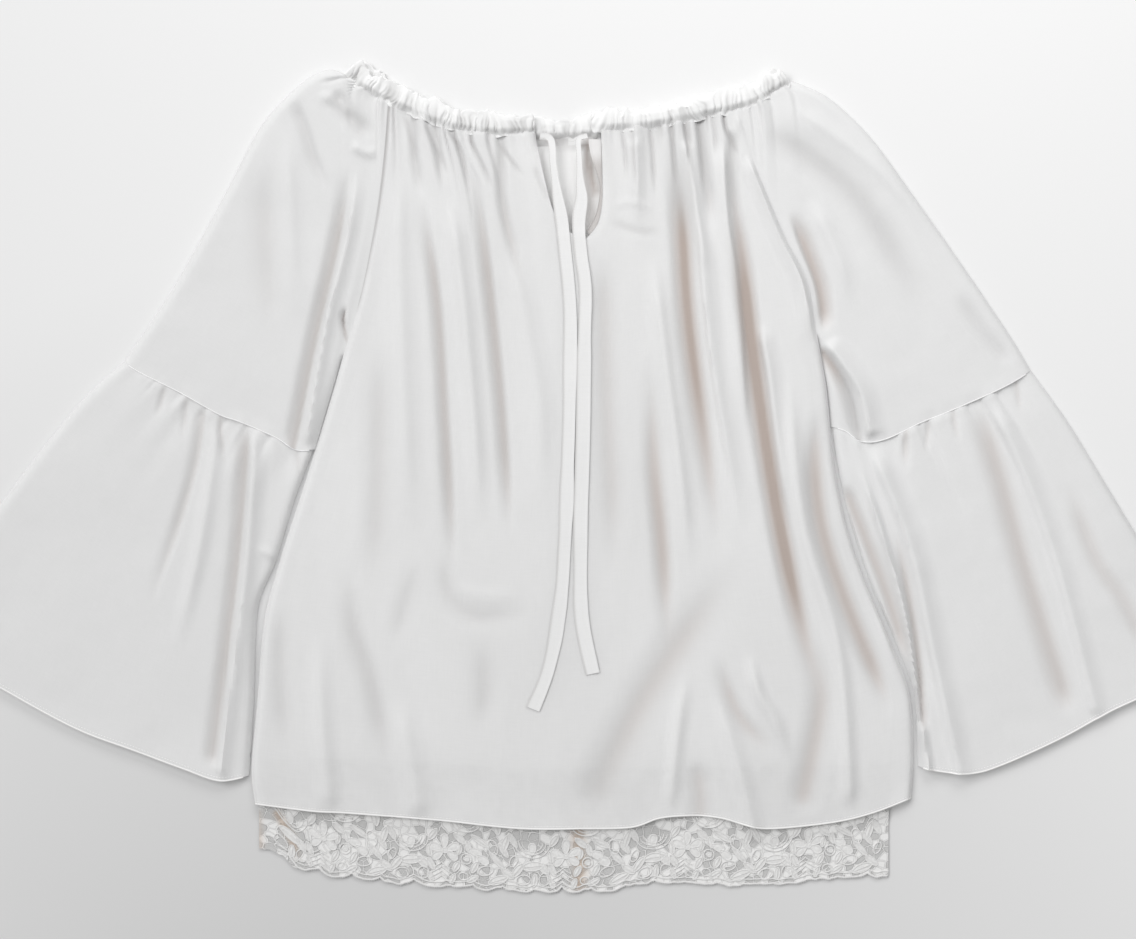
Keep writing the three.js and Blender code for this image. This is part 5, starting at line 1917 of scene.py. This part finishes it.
@dataclass
class Tie:
    """One end of the drawstring: a narrow turned strip lying on the front."""

    finishes: Finishes
    name: str
    node: str
    points: Points
    ground: Ground
    seed: int
    width: float = 12.2
    head_width: float = 6.0
    head_height: float = 9.0
    widening: tuple[float, float] = (0.06, 0.1)
    lift: float = 0.5
    thickness: float = 0.4
    columns: int = 12
    rows: int = 239
    spots: Array = field(init=False)
    across: Array = field(init=False)
    half: Array = field(init=False)
    level: Array = field(init=False)
    twist: Array = field(init=False)

    def __post_init__(self) -> None:
        """Works out the strip's line, its half width, its height and its twist at each row."""
        line = Line(self.points)
        share = np.linspace(0, 1, self.rows + 1)
        run = share * line.length
        self.across = line.across(share)
        self.spots = line.at(share) + self.across * (0.35 * ripple(run, 55, self.seed))[:, None]
        wide = smooth((share - self.widening[0]) / self.widening[1])
        half = mix(self.head_width, self.width, wide) / 2
        self.half = half * (1 - 0.12 * smooth(ripple(run, 70, self.seed + 1)))
        self.level = self.heights(share)
        self.twist = 0.5 * ripple(run, 60, self.seed + 2)

    def beside(self, side: float) -> Array:
        """The x and y of a line along the strip, from -1 at one edge to 1 at the other."""
        return self.spots + self.across * (self.half * side)[:, None]

    def heights(self, share: Array) -> Array:
        """The height of the strip, which lies on the front and bridges narrow dips.

        Args:
            share: the share of its length at each row.

        Returns:
            Heights in millimetres.
        """
        read = np.stack([self.ground(self.beside(side)) for side in (-1, 0, 1)])
        read = np.where(np.isnan(read), np.nanmedian(read), read)
        height = read.max(axis=0)
        for _ in range(6):
            smoother = (np.roll(height, 1) + np.roll(height, -1)) / 2
            smoother[[0, -1]] = height[[0, -1]]
            height = np.maximum(height, smoother)
        return mix(self.head_height, height + self.lift, smooth(share / 0.06))

    def place(self, u: Array, v: Array) -> Array:
        """Places the strip by its shares.

        Args:
            u: shares across.
            v: shares down.

        Returns:
            The points in millimetres, as rows of x, y, z.
        """
        row = np.rint(v * self.rows).astype(int)
        side = 2 * u - 1
        flat = self.spots[row] + self.across[row] * (side * self.half[row])[:, None]
        edge = 0.15 * smooth((np.abs(side) - 0.6) / 0.2)
        return np.column_stack([flat, self.level[row] + 0.5 + self.twist[row] * side * 0.6 + edge])

    def shade(self, x: Array, y: Array, _z: Array) -> tuple[Array, Array]:
        """The shadow along the strip's edges.

        Args:
            x: places across, in millimetres.
            y: places up.
            _z: heights, which don't count here.

        Returns:
            The strength of the tint and its warmth, from 0 to 1.
        """
        nearest = np.abs(self.spots[None, :, 1] - y[:, None]).argmin(axis=1)
        away = (np.column_stack([x, y]) - self.spots[nearest]) * self.across[nearest]
        side = away.sum(axis=1) / self.half[nearest]
        left_side = -side if self.across[0, 0] > 0 else side
        edges = smooth((left_side - 0.76) / 0.12) + 0.25 * smooth((-left_side - 0.85) / 0.1)
        return 0.55 * edges, np.zeros_like(x)

    def stitches(self) -> Piece:
        """The stitches along both edges.

        Returns:
            The new object.
        """
        rows = []
        for side in (-1, 1):
            level = self.level + 0.55 + self.twist * side * 0.45
            path = np.column_stack([self.beside(0.74 * side), level])
            rows += stitch_row(path, 2.4, 1.7, half=0.14)
        piece = strands_piece(f"{self.name}_stitches", rows)
        dress(piece, self.finishes.thread)
        return piece

    def build(self) -> None:
        cut = (self.width, Line(self.points).length)
        piece = grid_piece(self.name, self.columns, self.rows, self.place, cut)
        face_up(piece)
        finish_cloth(piece, self.shade, self.thickness)
        dress(piece, self.finishes.strip, node=self.node)
        self.stitches()


@dataclass
class SlitFacing:
    """The facing of the slit's right edge, with its corner turned out."""

    finishes: Finishes
    turned_edge: float = 7.9
    low_end: float = 6.9
    cut: tuple[float, float] = (14.0, 82.0)

    def place(self, u: Array, v: Array) -> Array:
        """Places the facing by its shares.

        Args:
            u: shares across.
            v: shares down.

        Returns:
            The points in millimetres, as rows of x, y, z.
        """
        outside = Line(SLIT_RIGHT).at(0.04 + 0.9 * v) - (0.4, 0)
        spots = mix(Line(FACING_EDGE).at(v), outside, u[:, None])
        roll = 0.5 * smooth((0.25 - u) / 0.25) + 0.25 * ripple(v * 80, 22, 81)
        return np.column_stack([spots, mix(self.turned_edge, self.low_end, v) + roll])

    def shade(self, x: Array, y: Array, _z: Array) -> tuple[Array, Array]:
        """The facing lies in the slit's shadow, deeper further down."""
        return mix(0.3, 0.8, smooth((274 - y) / 14)), np.full_like(x, 0.3)

    def build(self) -> None:
        """Makes the facing."""
        piece = grid_piece("slit_facing_cloth", 16, 50, self.place, self.cut)
        face_up(piece)
        finish_cloth(piece, self.shade, 0.35)
        dress(piece, self.finishes.under_chiffon, node="slit_facing")


class Motif(Enum):
    """What the lace is worked with."""

    LEAF = "leaf"
    PETAL = "petal"
    RING = "ring"
    CUP = "cup"
    CHEVRON = "chevron"
    WINDOW = "window"


class Work(NamedTuple):
    """One worked form in a repeat: its place, its half sizes and its turn in degrees."""

    motif: Motif
    along: float
    above: float
    long: float
    wide: float
    turn: float


# Where the lace is folded and lies in a warm shadow
LACE_SHADOWS = [
    Fold(16, -296, 15, -315, 17, -335, 15, -356, 11, 12, -6.0, 0.0, 0.1),
    Fold(-243, -284, -236, -296, -228, -312, -222, -330, 6, 8, -6.0, 0.1, 0.3),
    Fold(-258, -284, -257, -296, -256, -308, -255, -320, 8, 8, -4.0, 0.1, 0.1),
]

# The worked forms of one repeat, whose places are in millimetres from its lower left corner
LACE_REPEAT = [
    Work(Motif.WINDOW, 18, 9.5, 6, 4.2, 10),
    Work(Motif.WINDOW, 36, 11, 4.6, 5.2, -20),
    Work(Motif.WINDOW, 70, 10, 3.8, 3.2, 0),
    Work(Motif.WINDOW, 89, 16, 6.5, 4, 15),
    Work(Motif.WINDOW, 95, 36, 4, 6.5, 20),
    Work(Motif.WINDOW, 9.5, 25, 3, 5, -25),
    Work(Motif.CHEVRON, 51.5, 6.5, 10, 6.5, 0),
    Work(Motif.CHEVRON, 51.5, 10.5, 10, 6.5, 0),
    Work(Motif.CHEVRON, 51.5, 14.5, 9, 6, 0),
    Work(Motif.CHEVRON, 51.5, 18.5, 7, 5, 0),
    Work(Motif.CUP, 25.5, 42, 15, 13.5, 0),
    Work(Motif.RING, 72.5, 25, 4.4, 4.4, 0),
    Work(Motif.PETAL, 72.5, 25, 2.2, 1.8, 0),
    Work(Motif.PETAL, 47, 33, 6, 3, 160),
    Work(Motif.PETAL, 61, 34, 6, 3, 25),
    Work(Motif.PETAL, 54, 39, 6, 3, 90),
    Work(Motif.PETAL, 48, 26.5, 5.2, 2.8, 215),
    Work(Motif.PETAL, 60.5, 27, 5.2, 2.8, -35),
    Work(Motif.PETAL, 54, 31, 2.2, 2.2, 0),
    Work(Motif.PETAL, 80, 31.5, 5.8, 3, -20),
    Work(Motif.PETAL, 86.5, 25.5, 5.8, 3, -35),
    Work(Motif.LEAF, 26, 21.5, 9.5, 3.8, 8),
    Work(Motif.LEAF, 13, 17.5, 7.5, 3, 50),
    Work(Motif.LEAF, 35, 20, 6, 3, -48),
    Work(Motif.LEAF, 99.5, 8.5, 9, 3.4, 20),
    Work(Motif.LEAF, 4.5, 14.5, 6.5, 2.8, -38),
    Work(Motif.LEAF, 27.5, 9.5, 5.5, 2.4, 82),
    Work(Motif.LEAF, 84, 41, 9, 2.2, -32),
    Work(Motif.LEAF, 98, 25.5, 8.5, 2.2, -48),
    Work(Motif.LEAF, 104, 34, 7, 2.2, -55),
    Work(Motif.LEAF, 64, 18, 5, 2.4, 60),
    Work(Motif.LEAF, 79.5, 18.5, 5.5, 2.5, 62),
    Work(Motif.LEAF, 78, 8.5, 5.5, 2.4, 30),
    Work(Motif.LEAF, 61, 7.5, 4.5, 2.2, 65),
    Work(Motif.LEAF, 42, 8, 4.5, 2.2, 115),
    Work(Motif.LEAF, 42.5, 19, 5.5, 2.6, 120),
    Work(Motif.LEAF, 41, 30, 5, 2.4, 100),
    Work(Motif.LEAF, 2.5, 40, 8, 2.8, 72),
    Work(Motif.LEAF, 9, 43, 7, 2.4, 120),
    Work(Motif.LEAF, 67, 42, 6.5, 2.6, 140),
    Work(Motif.LEAF, 44, 44, 6, 2.6, 55),
    Work(Motif.LEAF, 74, 35.5, 5, 2.4, 105),
    Work(Motif.LEAF, 66.5, 32, 4, 2, 75),
    Work(Motif.PETAL, 25.5, 36, 5, 3, 90),
    Work(Motif.LEAF, 8, 72, 10, 4, 40),
    Work(Motif.LEAF, 34, 74, 10, 4, 140),
    Work(Motif.PETAL, 21, 84, 8, 4, 90),
    Work(Motif.CUP, 72, 60, 14, 12, 0),
    Work(Motif.PETAL, 60, 80, 8, 4, 90),
    Work(Motif.LEAF, 86, 74, 11, 4.4, 55),
    Work(Motif.LEAF, 98, 56, 9, 3.6, 100),
    Work(Motif.LEAF, 48, 62, 9, 4, 30),
]


@dataclass
class Lace:
    """The lace border: net, worked leaves and petals, and the cords that outline them."""

    finishes: Finishes
    pitch: float = 103.0
    scallop: float = 25.75
    depth: float = 5.0
    corner: float = 9.5
    left: float = -255.0
    front_left: float = -246.0
    edge_left: float = -240.0
    right: float = 279.0
    back_floor: float = 0.6
    front_floor: float = LACE_FLOOR

    def base(self, x: Array) -> Array:
        """The y of the edge without its scallops."""
        return np.interp(x, *np.array(LACE_BOTTOM, float).T)

    def edge(self, x: Array) -> Array:
        """The y of the scalloped edge.

        Args:
            x: places across.

        Returns:
            The y at each.
        """
        phase = np.abs(np.sin(np.pi * (x - self.left + 3 * ripple(x, 45, 95)) / self.scallop))
        uneven = 0.5 * ripple(x, 5.5, 96) + 0.8 * ripple(x, 13, 97)
        scallops = self.depth * (1 - np.sqrt(phase)) * (0.85 + 0.4 * ripple(x, 38, 98))
        return self.base(x) + scallops + uneven

    def top(self, x: Array) -> Array:
        """The y of the seam on the lining."""
        return np.interp(x, *np.array(LACE_TOP, float).T)

    def level(self, x: Array, y: Array, floor: float) -> Array:
        """The height of the lace, which sinks to its floor beyond the body's hem.

        Args:
            x: places across, in millimetres.
            y: places up.
            floor: its height on the table.

        Returns:
            Heights in millimetres.
        """
        hem = np.interp(x, *np.array(HEM_LEFT + HEM_RIGHT[1:], float).T)
        beyond = smooth((hem - 2 - y) / 14)
        wavy = 0.35 * swell(x, y, 30, 91) * beyond
        return mix(floor + 2.2, floor, beyond) + wavy

    def raised(self, spots: Array, lift: float) -> Array:
        """Rows of x, y, z a little above the front border."""
        return np.column_stack([spots, self.level(*spots.T, self.front_floor) + lift])

    def place(self, start: float, floor: float, corner: float, u: Array, v: Array) -> Array:
        """Places one layer of net by its shares.

        Args:
            start: the x of its left end.
            floor: its height on the table.
            corner: how far its lower left corner is pulled out.
            u: shares across.
            v: shares down.

        Returns:
            The points in millimetres.
        """
        x = mix(start, self.right, u)
        y = mix(self.top(x), self.edge(x), v)
        pulled = corner * smooth((-270 - y) / 14) * (1 - u) ** 24
        return np.column_stack([x - pulled, y, self.level(x, y, floor)])

    def shade(self, x: Array, y: Array, _z: Array) -> tuple[Array, Array]:
        """The tint of the lace's shadows."""
        return trough_shade(LACE_SHADOWS, x, y), np.ones_like(x)

    def sheet(self, layer: str, floor: float, start: float, corner: float) -> Piece:
        """One layer of net.

        Args:
            layer: the CAD node that it stands for.
            floor: its height on the table.
            start: the x of its left end.
            corner: how far its lower left corner is pulled out.

        Returns:
            The new object.
        """
        place = partial(self.place, start, floor, corner)
        piece = grid_piece(f"{layer}_net", 420, 40, place, (self.right - start, 102.0))
        face_up(piece)
        mark_painted_shade(piece, self.shade)
        thicken(piece, 0.3)
        dress(piece, self.finishes.net, layer)
        return piece

    def outline(self, work: Work) -> Array:
        """The line of one worked form, about its own middle.

        Args:
            work: the form.

        Returns:
            Rows of x, y.
        """
        t = np.linspace(0, 2 * math.pi, 20, endpoint=False)
        x, y = np.cos(t), np.sin(t)
        if work.motif is Motif.LEAF:
            y = y * np.abs(y) ** 0.35
        elif work.motif is Motif.PETAL:
            y = y * (1 + 0.35 * x)
        elif work.motif is Motif.CUP:
            half = np.linspace(math.pi * 1.02, math.pi * 1.98, 22)
            x, y = np.cos(half), np.sin(half)
        elif work.motif is Motif.CHEVRON:
            x = np.linspace(-1, 1, 15)
            y = 0.5 - np.abs(x) ** 0.8
        return np.column_stack([work.long * x, work.wide * y])

    def placed(self, spots: Array, work: Work, start: float) -> Array:
        """Turns a form and sets it at its place in a repeat.

        Args:
            spots: rows of x, y about the form's middle.
            work: the form.
            start: the x where its repeat starts.

        Returns:
            Rows of x, y on the border.
        """
        turn = math.radians(work.turn)
        x = spots[:, 0] * math.cos(turn) - spots[:, 1] * math.sin(turn)
        y = spots[:, 0] * math.sin(turn) + spots[:, 1] * math.cos(turn)
        across = start + work.along + x
        return np.column_stack([across, self.base(across) + work.above + y])

    def fits(self, spots: Array) -> bool:
        """Whether a form lies wholly on the border."""
        x, y = spots.T
        across = (x > self.left + 9) & (x < self.right - 1.5)
        return bool((across & (y > self.edge(x) + 1) & (y < self.top(x) - 1)).all())

    def form_cords(self, flat: Array, work: Work, start: float) -> list[Strand]:
        """The cords of one worked form: its outline, a cup's inner lines and a leaf's vein.

        Args:
            flat: the form's line about its own middle.
            work: the form.
            start: the x where its repeat starts.

        Returns:
            The strand of each cord.
        """
        closed = work.motif not in (Motif.CUP, Motif.CHEVRON)
        path = self.raised(self.placed(flat, work, start), 0.35)
        cords = [strand(path, 0.55, 0.45, sides=5, closed=closed)]
        if work.motif is Motif.CUP:
            for shrink in (0.78, 0.6):
                inner = np.column_stack([self.placed(flat * shrink, work, start), path[:, 2]])
                cords.append(strand(inner, 0.5, 0.4, sides=5))
        if work.motif is Motif.LEAF:
            line = np.column_stack([np.linspace(-0.8, 0.8, 8) * work.long, np.zeros(8)])
            cords.append(strand(self.raised(self.placed(line, work, start), 0.75), 0.3, 0.25, sides=4))
        return cords

    def fill(self, flat: Array, work: Work, start: float) -> Strand:
        """The closely worked inside of a leaf or petal, as a low dome.

        Args:
            flat: the form's line about its own middle.
            work: the form.
            start: the x where its repeat starts.

        Returns:
            The dome's points and faces.
        """
        count = len(flat)
        rim = self.raised(self.placed(flat, work, start), 0.1)
        ring = self.raised(self.placed(flat * 0.6, work, start), 0.45)
        middle = self.raised(self.placed(np.zeros((1, 2)), work, start), 0.55)
        under = 2 * count + 1
        faces = []
        for i in range(count):
            j = (i + 1) % count
            faces.append((i, j, count + j, count + i))
            faces.append((count + i, count + j, 2 * count))
            faces.append((j, i, under + i, under + j))
        faces.append(tuple(under + i for i in range(count))[::-1])
        return Strand(np.vstack([rim, ring, middle, rim - (0, 0, 0.3)]), faces)

    def picots(self) -> list[Strand]:
        """The small loops along the scalloped edge.

        Returns:
            One strand for each loop.
        """
        parts = []
        for x in np.arange(-238, self.right - 1, 1.9):
            low = self.edge(np.array([x]))[0]
            path = self.raised(np.array([[x, low + 0.4], [x + 0.15, low - 1.1]]), 0.3)
            parts.append(strand(path, 0.35, 0.3, sides=4))
        return parts

    def work_pieces(self) -> list[Piece]:
        """The worked forms and cords of the front border.

        Returns:
            The cords, the worked insides and the picots.
        """
        cords: list[Strand] = []
        fills: list[Strand] = []
        for start in np.arange(self.left, self.right, self.pitch):
            for work in LACE_REPEAT:
                flat = self.outline(work)
                if not self.fits(self.placed(flat, work, start)):
                    continue
                cords += self.form_cords(flat, work, start)
                if work.motif in (Motif.LEAF, Motif.PETAL):
                    fills.append(self.fill(flat, work, start))
        x = np.arange(self.edge_left, self.right - 0.5, 1.1)
        for inward, half in ((0.4, 0.8), (4.2, 0.55)):
            path = self.raised(np.column_stack([x, self.edge(x) + inward]), 0.35)
            cords.append(strand(path, half, 0.5, sides=6))
        made = []
        work_parts = {"lace_cords": cords, "lace_leaves": fills, "lace_picots": self.picots()}
        for name, parts in work_parts.items():
            piece = strands_piece(name, parts)
            shade_smooth(piece)
            dress(piece, self.finishes.lace_work)
            made.append(piece)
        return made

    def build(self) -> None:
        """Makes the back and front borders and the front's work."""
        back = self.sheet("lace_back", self.back_floor, self.left + 3, 0.0)
        front = self.sheet("lace_front", self.front_floor, self.front_left, self.corner)
        self.work_pieces()


# The picture


@dataclass
class Studio:
    """The pale surface, the soft light from above the neck, and the camera straight above."""

    image: tuple[int, int] = (1136, 939)
    mm_per_pixel: float = 0.85
    middle: tuple[float, float] = (6.8, 3.8)
    distance: float = 2.6
    table_size: float = 8.0
    painted_falloff_spot: tuple[float, float] = (0.15, 0.6)
    painted_falloff_reach: float = 0.8
    shaded_grey: float = 0.57
    lit_grey: float = 0.82
    room_light: float = 0.44
    window_toward: tuple[float, float, float] = (-0.7, 0.45, 0.95)
    window_light: float = 1.46
    window_angle: float = 38.0
    lamp_place: tuple[float, float, float] = (0.25, 1.15, 1.0)
    lamp_size: tuple[float, float] = (1.3, 0.7)
    lamp_power: float = 8.5

    def build(self) -> None:
        """Makes the surface, the lights and the camera."""
        self.surface()
        self.lights()
        self.camera()
        scene = bpy.context.scene
        scene.view_settings.view_transform = "Standard"
        scene.cycles.transparent_max_bounces = 32

    def surface(self) -> None:
        """The table top, painted darker towards the bottom left and lighter further off, as a painted
        falloff of the light.
        """
        deselect_all()
        bpy.ops.mesh.primitive_plane_add(size=self.table_size)
        floor = bpy.context.object
        floor.name = "table_top"
        made, wiring = new_material("Table top")
        place = wiring.node("ShaderNodeTexCoord").outputs["Object"]
        # Painted falloff of the light: the grey is darkest near the spot and lighter from the reach on.
        x, y = self.painted_falloff_spot
        reach = self.painted_falloff_reach
        inputs = {0: place, "Location": (x / reach, y / reach, 0), "Scale": (1 / reach,) * 3}
        moved = wiring.node("ShaderNodeMapping", inputs).outputs[0]
        spread = wiring.node("ShaderNodeTexGradient", {0: moved}, gradient_type="SPHERICAL")
        grey = wiring.blend(spread.outputs[1], (self.lit_grey,) * 3, (self.shaded_grey,) * 3)
        wiring.surface({"Base Color": grey, "Roughness": 0.6})
        floor.data.materials.append(made)

    def lights(self) -> None:
        """An even light all round, a far window, and a broad soft light above the neck."""
        world = bpy.data.worlds.new("Room")
        bpy.context.scene.world = world
        world.use_nodes = True
        room = world.node_tree.nodes["Background"].inputs
        room[0].default_value = (1, 1, 1, 1)
        room[1].default_value = self.room_light
        window = self.light("Window", "SUN", self.window_toward, self.window_light)
        window.data.angle = math.radians(self.window_angle)
        lamp = self.light("Skylight", "AREA", self.lamp_place, self.lamp_power)
        lamp.location = self.lamp_place
        lamp.data.shape = "RECTANGLE"
        lamp.data.size, lamp.data.size_y = self.lamp_size

    def light(self, name: str, kind: str, toward: tuple[float, float, float], energy: float) -> Piece:
        """A light that shines at the middle of the garment.

        Args:
            name: its name.
            kind: Blender's kind of light.
            toward: the direction that it comes from.
            energy: its strength in watts, or in watts per square metre for the sun's kind.

        Returns:
            The light's object.
        """
        data = bpy.data.lights.new(name, kind)
        data.energy = energy
        made = bpy.data.objects.new(name, data)
        made.rotation_euler = (-Vector(toward)).to_track_quat("-Z", "Y").to_euler()
        bpy.context.collection.objects.link(made)
        return made

    def camera(self) -> None:
        """The camera, whose frame is the photo's."""
        made = bpy.data.cameras.new("Overhead")
        made.sensor_width = 36
        width = self.image[0] * self.mm_per_pixel * MM
        made.lens = made.sensor_width * self.distance / width
        made.clip_end = 20
        view = bpy.data.objects.new("Overhead", made)
        x, y = self.middle
        view.location = (x * MM, (y + CENTRE_SHIFT) * MM, self.distance)
        bpy.context.collection.objects.link(view)
        bpy.context.scene.camera = view


def main() -> None:
    """Builds the blouse and the picture."""
    logging.basicConfig(level=logging.INFO, format="%(name)s %(message)s")
    Studio().build()
    finishes = Finishes()
    Lining(finishes).build()
    body = Body(finishes)
    body.build()
    for side in Side:
        Arm(finishes, side, body).build()
    front, back = 7.0, 0.2
    Casing(finishes, "casing_left_cloth", "casing_front_left", CASING_LEFT, front, 101).build()
    Casing(finishes, "casing_right_cloth", "casing_front_right", CASING_RIGHT, front, 111).build()
    coarse = {"step": 1.2, "sewn": 0.0}
    Casing(finishes, "casing_back_cloth", "casing_back", CASING_BACK, back, 121, **coarse).build()
    ground = ground_of(body.front)
    Tie(finishes, "tie_left_strip", "tie_left", TIE_LEFT, ground, 131).build()
    Tie(finishes, "tie_right_strip", "tie_right", TIE_RIGHT, ground, 141, head_width=4.5).build()
    SlitFacing(finishes).build()
    Lace(finishes).build()
    deselect_all()


if __name__ == "__main__":
    main()
